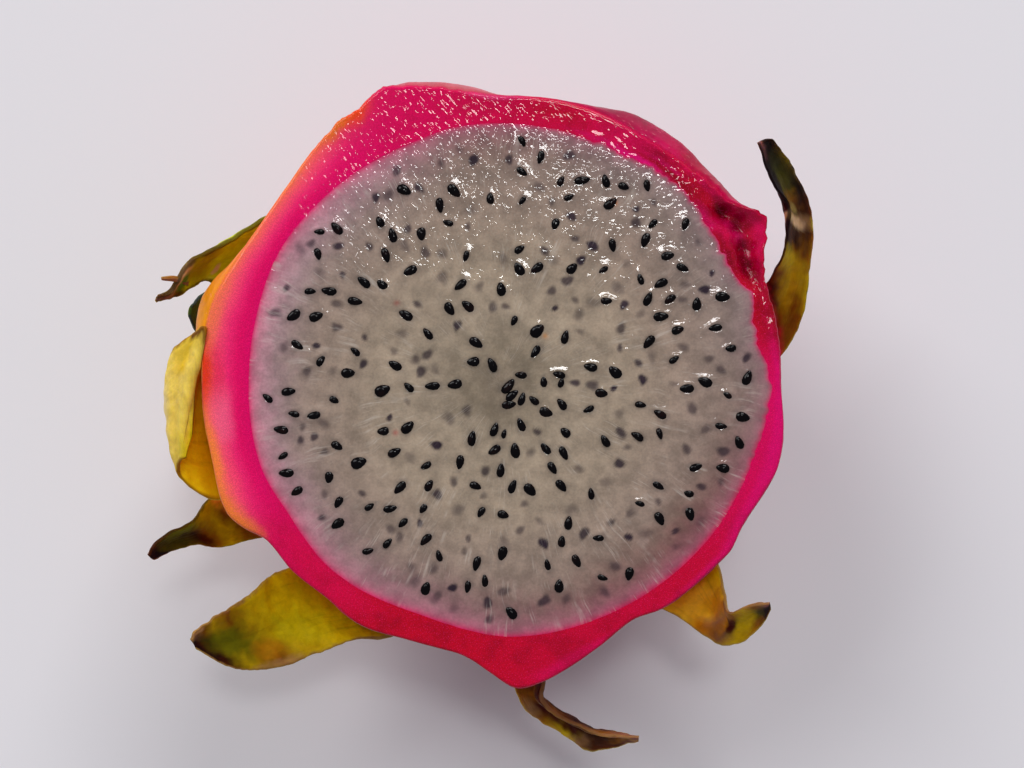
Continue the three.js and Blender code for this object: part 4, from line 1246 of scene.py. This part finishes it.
# How each bract is coloured. Three runs of (share of its length, colour) go from foot to tip: along its
# clockwise edge, its middle and its other edge. The margin is a dry line of its own colour and width in mm,
# and each patch is (colour, along, across, reach along, reach across, strength).
BRACT_COLOURS = {
    "forked": {
        "clockwise": [
            (0.1, LEAF_GREEN), (0.45, LEAF_GREEN), (0.54, DULL_OLIVE), (0.66, DULL_OLIVE), (0.71, TAN),
            (0.77, CREAM), (0.84, TAN), (0.92, UMBER), (1, PLUM),
        ],
        "middle": [
            (0.1, LEAF_GREEN), (0.46, LEAF_GREEN), (0.55, DULL_OLIVE), (0.66, DULL_OLIVE),
            (0.71, MOSS_GREEN), (0.79, MOSS_GREEN), (0.86, UMBER), (0.95, PLUM),
        ],
        "other": [
            (0.1, LEAF_GREEN), (0.42, LEAF_GREEN), (0.54, GREEN_OLIVE), (0.7, DIM_OLIVE),
            (0.78, DARK_OLIVE), (0.86, BROWN), (0.93, TAN), (1, PLUM),
        ],
        "margin": (BARK, 0.7),
        "patches": [(CREAM, 0.41, 0.5, 0.03, 0.18, 0.85)],
    },
    "small": {
        "clockwise": [(0.14, SKIN_ROSE), (0.32, PALE_SAGE), (1, PINE)],
        "middle": [(0.16, SKIN_ROSE), (0.3, OLIVE), (0.55, SAGE), (1, DEEP_PINE)],
        "other": [(0.14, SKIN_ROSE), (0.32, DIM_SAGE), (1, GREY_PINE)],
        "margin": (SLATE, 0.3),
        "patches": [],
    },
    "folded": {
        "clockwise": [
            (0.15, BRIGHT_ORANGE), (0.3, ORANGE), (0.45, STRAW), (0.6, STRAW), (0.72, GOLD),
            (0.8, STRAW), (1, OLIVE_GOLD),
        ],
        "middle": [
            (0.1, BRIGHT_ORANGE), (0.36, BRIGHT_ORANGE), (0.44, GOLD), (0.52, PALE_STRAW),
            (0.62, STRAW), (0.8, STRAW), (1, GOLD),
        ],
        "other": [
            (0.1, BRIGHT_ORANGE), (0.44, BRIGHT_ORANGE), (0.52, GOLD), (0.6, STRAW), (1, OLIVE_GOLD),
        ],
        "margin": (BROWN, 0.3),
        "patches": [
            (BRASS, 0.7, -0.8, 0.12, 0.22, 0.6), (CHESTNUT, 0.6, -1.0, 0.12, 0.06, 1.0),
            (CHESTNUT, 0.76, -0.96, 0.07, 0.13, 1.0),
        ],
    },
    "spike": {
        "clockwise": [
            (0.3, CORAL), (0.35, APRICOT), (0.41, OLIVE), (0.5, OLIVE), (0.62, MOSS), (0.8, DARK_OLIVE),
            (0.88, DARK_BROWN), (0.94, BLACKISH),
        ],
        "middle": [
            (0.34, APRICOT), (0.39, BROWN), (0.46, OLIVE), (0.55, BROWN), (0.64, DARK_BROWN),
            (0.74, DARK_OLIVE), (0.85, DARK_OLIVE), (0.9, BLACKISH),
        ],
        "other": [
            (0.33, CORAL), (0.39, BROWN), (0.5, OLIVE), (0.57, BROWN), (0.62, DARK_BROWN),
            (0.8, DARK_OLIVE), (0.88, BLACKISH),
        ],
        "margin": (DARK_BROWN, 0.25),
        "patches": [(OXBLOOD, 0.6, 0.4, 0.035, 0.35, 0.8)],
    },
    "broad": {
        "clockwise": [
            (0.1, SKIN_ROSE), (0.17, FOOT_RED), (0.23, RUSSET), (0.3, OLIVE_GOLD), (0.5, OLIVE_GOLD),
            (0.58, OLIVE), (0.65, BROWN), (0.74, OLIVE), (0.82, BROWN), (0.9, UMBER), (1, UMBER),
        ],
        "middle": [
            (0.1, SKIN_ROSE), (0.17, FOOT_RED), (0.23, RUSSET), (0.3, OLIVE_GOLD), (0.5, OLIVE_GOLD),
            (0.58, OLIVE), (0.66, MOSS), (0.76, MOSS), (0.84, DARK_OLIVE), (0.9, DARK_BROWN),
            (0.95, BLACKISH),
        ],
        "other": [
            (0.1, SKIN_ROSE), (0.17, FOOT_RED), (0.24, OXBLOOD), (0.31, OLIVE), (0.4, OLIVE_GOLD),
            (0.53, OLIVE), (0.6, BROWN), (0.7, OLIVE), (0.78, DARK_BROWN), (0.84, BLACKISH),
        ],
        "margin": (UMBER, 0.4),
        "patches": [
            (RUSSET, 0.6, 0.42, 0.05, 0.3, 0.6), (PEAR, 0.45, 0.2, 0.09, 0.5, 0.6),
            (MOSS, 0.7, 0.0, 0.07, 0.45, 0.5), (TAN, 0.86, -0.95, 0.06, 0.2, 0.9),
            (TAN, 0.62, 0.9, 0.07, 0.14, 0.5),
        ],
    },
    "dry": {
        "clockwise": [
            (0.22, MAGENTA), (0.26, OXBLOOD), (0.34, BROWN), (0.42, UMBER), (0.5, BROWN), (0.64, OLIVE),
            (0.7, UMBER), (0.77, DARK_BROWN), (0.91, DARK_BROWN), (1, PLUM),
        ],
        "middle": [
            (0.22, MAGENTA), (0.26, OXBLOOD), (0.36, BROWN), (0.42, OXBLOOD), (0.6, OXBLOOD),
            (0.7, DARK_BROWN), (0.82, DARK_BROWN), (0.9, BROWN), (0.96, UMBER),
        ],
        "other": [
            (0.22, MAGENTA), (0.28, OXBLOOD), (0.4, OXBLOOD), (0.5, BROWN), (0.62, DARK_BROWN),
            (0.8, BROWN), (1, PLUM),
        ],
        "margin": (UMBER, 0.2),
        # The cream fleck at the pinch is a painted highlight; the blackish patch in the fold's channel is
        # partly the inner face's own dark colour and partly painted shade.
        "patches": [(BLACKISH, 0.48, 0.45, 0.07, 0.3, 0.8), (CREAM, 0.41, 0.6, 0.012, 0.15, 0.7)],
    },
    "curled": {
        "clockwise": [
            (0.1, SKIN_ROSE), (0.19, FOOT_RED), (0.24, RUSSET), (0.3, STRAW_GOLD), (0.42, STRAW_GOLD),
            (0.5, RUSSET), (0.6, UMBER), (0.7, OLIVE), (0.84, BROWN), (0.93, BLACKISH),
        ],
        "middle": [
            (0.1, SKIN_ROSE), (0.19, FOOT_RED), (0.24, RUSSET), (0.3, STRAW_GOLD), (0.46, STRAW_GOLD),
            (0.52, TAN), (0.58, RUSSET), (0.61, OXBLOOD), (0.65, OXBLOOD), (0.7, OLIVE), (0.8, OLIVE),
            (0.87, DARK_OLIVE), (0.93, BLACKISH),
        ],
        "other": [
            (0.1, SKIN_ROSE), (0.19, FOOT_RED), (0.24, RUSSET), (0.3, OLIVE_GOLD), (0.45, STRAW_GOLD),
            (0.56, TAN), (0.66, BROWN), (0.74, OLIVE), (0.84, BROWN), (0.92, UMBER), (0.97, PLUM),
        ],
        "margin": (UMBER, 0.25),
        "patches": [(GOLD, 0.41, 0.2, 0.05, 0.4, 0.7), (OXBLOOD, 0.645, 0.1, 0.03, 0.45, 0.9)],
    },
    "long": {
        "clockwise": [
            (0.12, SKIN_ROSE), (0.24, FOOT_RED), (0.29, BROWN), (0.36, BROWN), (0.42, OLIVE),
            (0.49, OLIVE), (0.55, BROWN), (0.63, DARK_BROWN), (0.67, UMBER), (0.71, DARK_BROWN),
            (0.8, NEAR_BLACK), (0.9, DARK_OLIVE), (0.97, NEAR_BLACK),
        ],
        "middle": [
            (0.12, SKIN_ROSE), (0.21, FOOT_RED), (0.26, BROWN), (0.34, WARM_OLIVE), (0.48, WARM_OLIVE),
            (0.54, BROWN), (0.57, DARK_BROWN), (0.63, DARK_BROWN), (0.65, CREAM), (0.675, TAN),
            (0.7, DARK_BROWN), (0.76, BROWN), (0.8, DARK_OLIVE), (0.88, DEEP_OLIVE), (0.95, NEAR_BLACK),
        ],
        "other": [
            (0.12, SKIN_ROSE), (0.2, FOOT_RED), (0.25, OXBLOOD), (0.35, BROWN), (0.45, OLIVE),
            (0.53, DARK_BROWN), (0.61, DARK_BROWN), (0.65, TAN), (0.675, CREAM), (0.7, OXBLOOD),
            (0.75, NEAR_BLACK), (0.93, NEAR_BLACK), (1, PLUM),
        ],
        "margin": (SOOT, 0.35),
        "patches": [(CREAM, 0.655, -0.1, 0.022, 0.5, 0.8), (KHAKI, 0.715, -0.1, 0.03, 0.2, 0.7)],
    },
    "prong": {
        "clockwise": [(0, UMBER), (1, TAN)],
        "middle": [(0, UMBER), (1, PLUM)],
        "other": [(0, UMBER), (1, PLUM)],
        "margin": (BROWN, 0.2),
        "patches": [],
    },
}
SMALL_COLOURS = {
    "clockwise": [(0.16, SKIN_ROSE), (0.36, BLUSH), (0.56, APRICOT), (0.72, OLIVE_GOLD), (1, MOSS)],
    "middle": [(0.2, SKIN_ROSE), (0.42, WARM_BLUSH), (0.62, APRICOT), (0.78, OLIVE_GOLD), (1, MOSS)],
    "other": [(0.16, SKIN_ROSE), (0.36, BLUSH), (0.56, APRICOT), (0.72, OLIVE_GOLD), (1, MOSS)],
    "margin": (BROWN, 0.35),
    "patches": [],
}


def bract_tint(colours, along, v, width, shaped):
    """The colour of every point of a bract, from its runs, patches and margin."""
    uneven = np.clip(along + 0.022 * grain(shaped, 2.6, 3, 1.0), 0, 1)
    sideways = np.clip(v + 0.3 * grain(shaped, 2.2, 2, 5.0), -1, 1)
    middle, clockwise, other = (along_run(colours[run], uneven) for run in ("middle", "clockwise", "other"))
    to_clockwise, to_other = (smooth((way * sideways - 0.12) / 0.6) for way in (-1, 1))
    tint = laid_over(middle, (clockwise, to_clockwise), (other, to_other))
    wander = grain(shaped, 1.4, 2, 6.0)
    for colour, at, across, reach, breadth, strength in colours["patches"]:
        away = np.hypot((along - at) / reach, (v - across) / breadth)
        tint = mix(tint, colour, smooth((1.35 - away + 0.35 * wander) / 0.8) * strength)
    flecks = grain(shaped, 0.55, 2, 8.0)
    tint = tint * (1 + 0.09 * np.clip(flecks, -1, 1))[:, None]
    shade, breadth = colours["margin"]
    from_edge = (1 - np.abs(v)) * width / 2
    edge = smooth(1.4 - from_edge / breadth + 0.5 * wander) * smooth(along * 6 - 1)
    return mix(tint, shade, edge * 0.85)


def bract_piece(name, colours, material, **blade):
    """A bract with its colour, and the measures that its veins follow."""
    mesh, along, v, width, shaped = blade_mesh(name, **blade)
    paint(mesh, "tint", bract_tint(colours, along, v, width, shaped))
    measure(mesh, "along", along * 4)
    measure(mesh, "across", (v + 1) / 2)
    return add_piece(name, mesh, "bract", "peel", material)


def spiral_rows(deg, foot, length):
    """The edge rows of a small pointed bract that lies close along the skin."""
    rows = []
    for u in (0, 0.3, 0.65, 1):
        z = foot + length * u
        skin = float(skin_radius(deg, z))
        lean = skin + SPIRAL["lean"] * u ** 1.3 + 0.8
        r = max(skin + 0.8, min(lean, float(read_around(SKIN_RIM, deg))))
        half_width = max(0.5, length * SPIRAL["slender"] * (1 - u ** 1.7))
        spread = math.degrees(half_width / r)
        reach = skin if u == 0 else r
        rows.append([[deg - spread, reach, z], [deg + spread, reach, z]])
    return rows


# How each bract near the cut moves at its margins: ((height of its waves in mm, how many), how ragged).
BRACT_EDGES = {
    "forked": ((0.5, 2.0), 0.5), "small": ((0.2, 1.5), 0.2), "folded": ((0.2, 2.0), 0.3),
    "spike": ((0.3, 2.0), 0.2), "broad": ((0.6, 2.5), 0.5), "dry": ((0.3, 2.5), 0.4),
    "curled": ((0.3, 2.0), 0.2), "long": ((0.4, 3.0), 0.3),
}


def all_bracts():
    """Every bract: those near the cut, the forked one's second prong and the small ones lower down."""
    leathery = bract_finish()
    for name, bract in RIM_BRACTS.items():
        waves, ragged = BRACT_EDGES[name]
        bract_piece("bract_" + name, BRACT_COLOURS[name], leathery, rows=rooted(bract["rows"]),
                    cup=bract["cup"], thick=bract["thick"], waves=waves, ragged=ragged,
                    fold=1.0 if name == "dry" else 0.2)
    bract_piece("bract_prong", BRACT_COLOURS["prong"], leathery, **PRONG, fineness=(24, 10))
    for k, (deg, _, foot, length) in enumerate(SMALL_FEET):
        bract_piece(f"bract_low_{k + 1}", SMALL_COLOURS, leathery,
                    rows=rooted(spiral_rows(deg, foot, length)), cup=SPIRAL["cup"],
                    thick=SPIRAL["thick"], fineness=(40, 16), waves=(0.3, 1.5))


# The stem's scar, in mm: its underside lies a little off the table, with growth rings this far apart.
SCAR = {"radius": 4.6, "lift": 0.25, "thick": 1.4, "rings": 5, "apart": 0.75}


def stem_scar():
    """The woody scar left by the stem, set in the groove of the flat spot."""
    bm = bmesh.new()
    bmesh.ops.create_circle(bm, cap_ends=True, segments=40, radius=SCAR["radius"])
    bmesh.ops.translate(bm, verts=bm.verts, vec=(0, 0, SCAR["lift"]))
    top = new_points(bmesh.ops.extrude_face_region(bm, geom=list(bm.faces)))
    bmesh.ops.translate(bm, verts=top, vec=(0, 0, SCAR["thick"]))
    bmesh.ops.recalc_face_normals(bm, faces=bm.faces)
    under = [face for face in bm.faces if face.normal.z < -0.9]
    for _ in range(SCAR["rings"]):
        bmesh.ops.inset_region(bm, faces=under, thickness=SCAR["apart"], depth=0)
    for v in bm.verts:
        if v.co.z < 1:
            v.co.z += 0.16 * math.sin(math.hypot(v.co.x, v.co.y) * 3.1) + 0.1 * noise.noise(v.co)
    bmesh.ops.scale(bm, verts=bm.verts, vec=(MM, MM, MM))
    return add_piece("stem_scar", mesh_from("stem_scar", bm), "bract", "peel", woody_finish())


SEED_PLACES = seed_places()
skin_piece()
flesh_piece(SEED_PLACES)
seeds_piece(SEED_PLACES)
all_bracts()
stem_scar()

# ---- floor and light ----------------------------------------------------------------------------
ground = bmesh.new()
bmesh.ops.create_grid(ground, x_segments=1, y_segments=1, size=4)
floor = bpy.data.objects.new("floor", mesh_from("floor", ground))
floor.data.materials.append(floor_finish())
scene.collection.objects.link(floor)


def soft_light(name, place, size, power):
    """A rectangular light aimed at the middle of the cut face."""
    light = bpy.data.lights.new(name, "AREA")
    light.shape, light.size, light.size_y = "RECTANGLE", *size
    light.energy = power
    lamp = bpy.data.objects.new(name, light)
    facing = (Vector((0, 0, 0.05)) - Vector(place)).to_track_quat("-Z", "Y").to_matrix()
    lamp.matrix_world = Matrix.Translation(place) @ facing.to_4x4()
    scene.collection.objects.link(lamp)


soft_light("side_window", (-2.44, 2.44, 3.186), (2.2, 2.2), 100)
soft_light("far_window", (1.1, 3.85, 2.55), (2.0, 1.4), 115)
soft_light("ceiling_panel", (0.09, 0.32, 1.25), (0.18, 0.125), 1.9)

sky = bpy.data.worlds.new("soft_room")
sky.use_nodes = True
glow = sky.node_tree.nodes["Background"].inputs
glow["Color"].default_value = (0.93, 0.93, 1.0, 1)
glow["Strength"].default_value = 0.27
scene.world = sky
scene.view_settings.view_transform = "Standard"
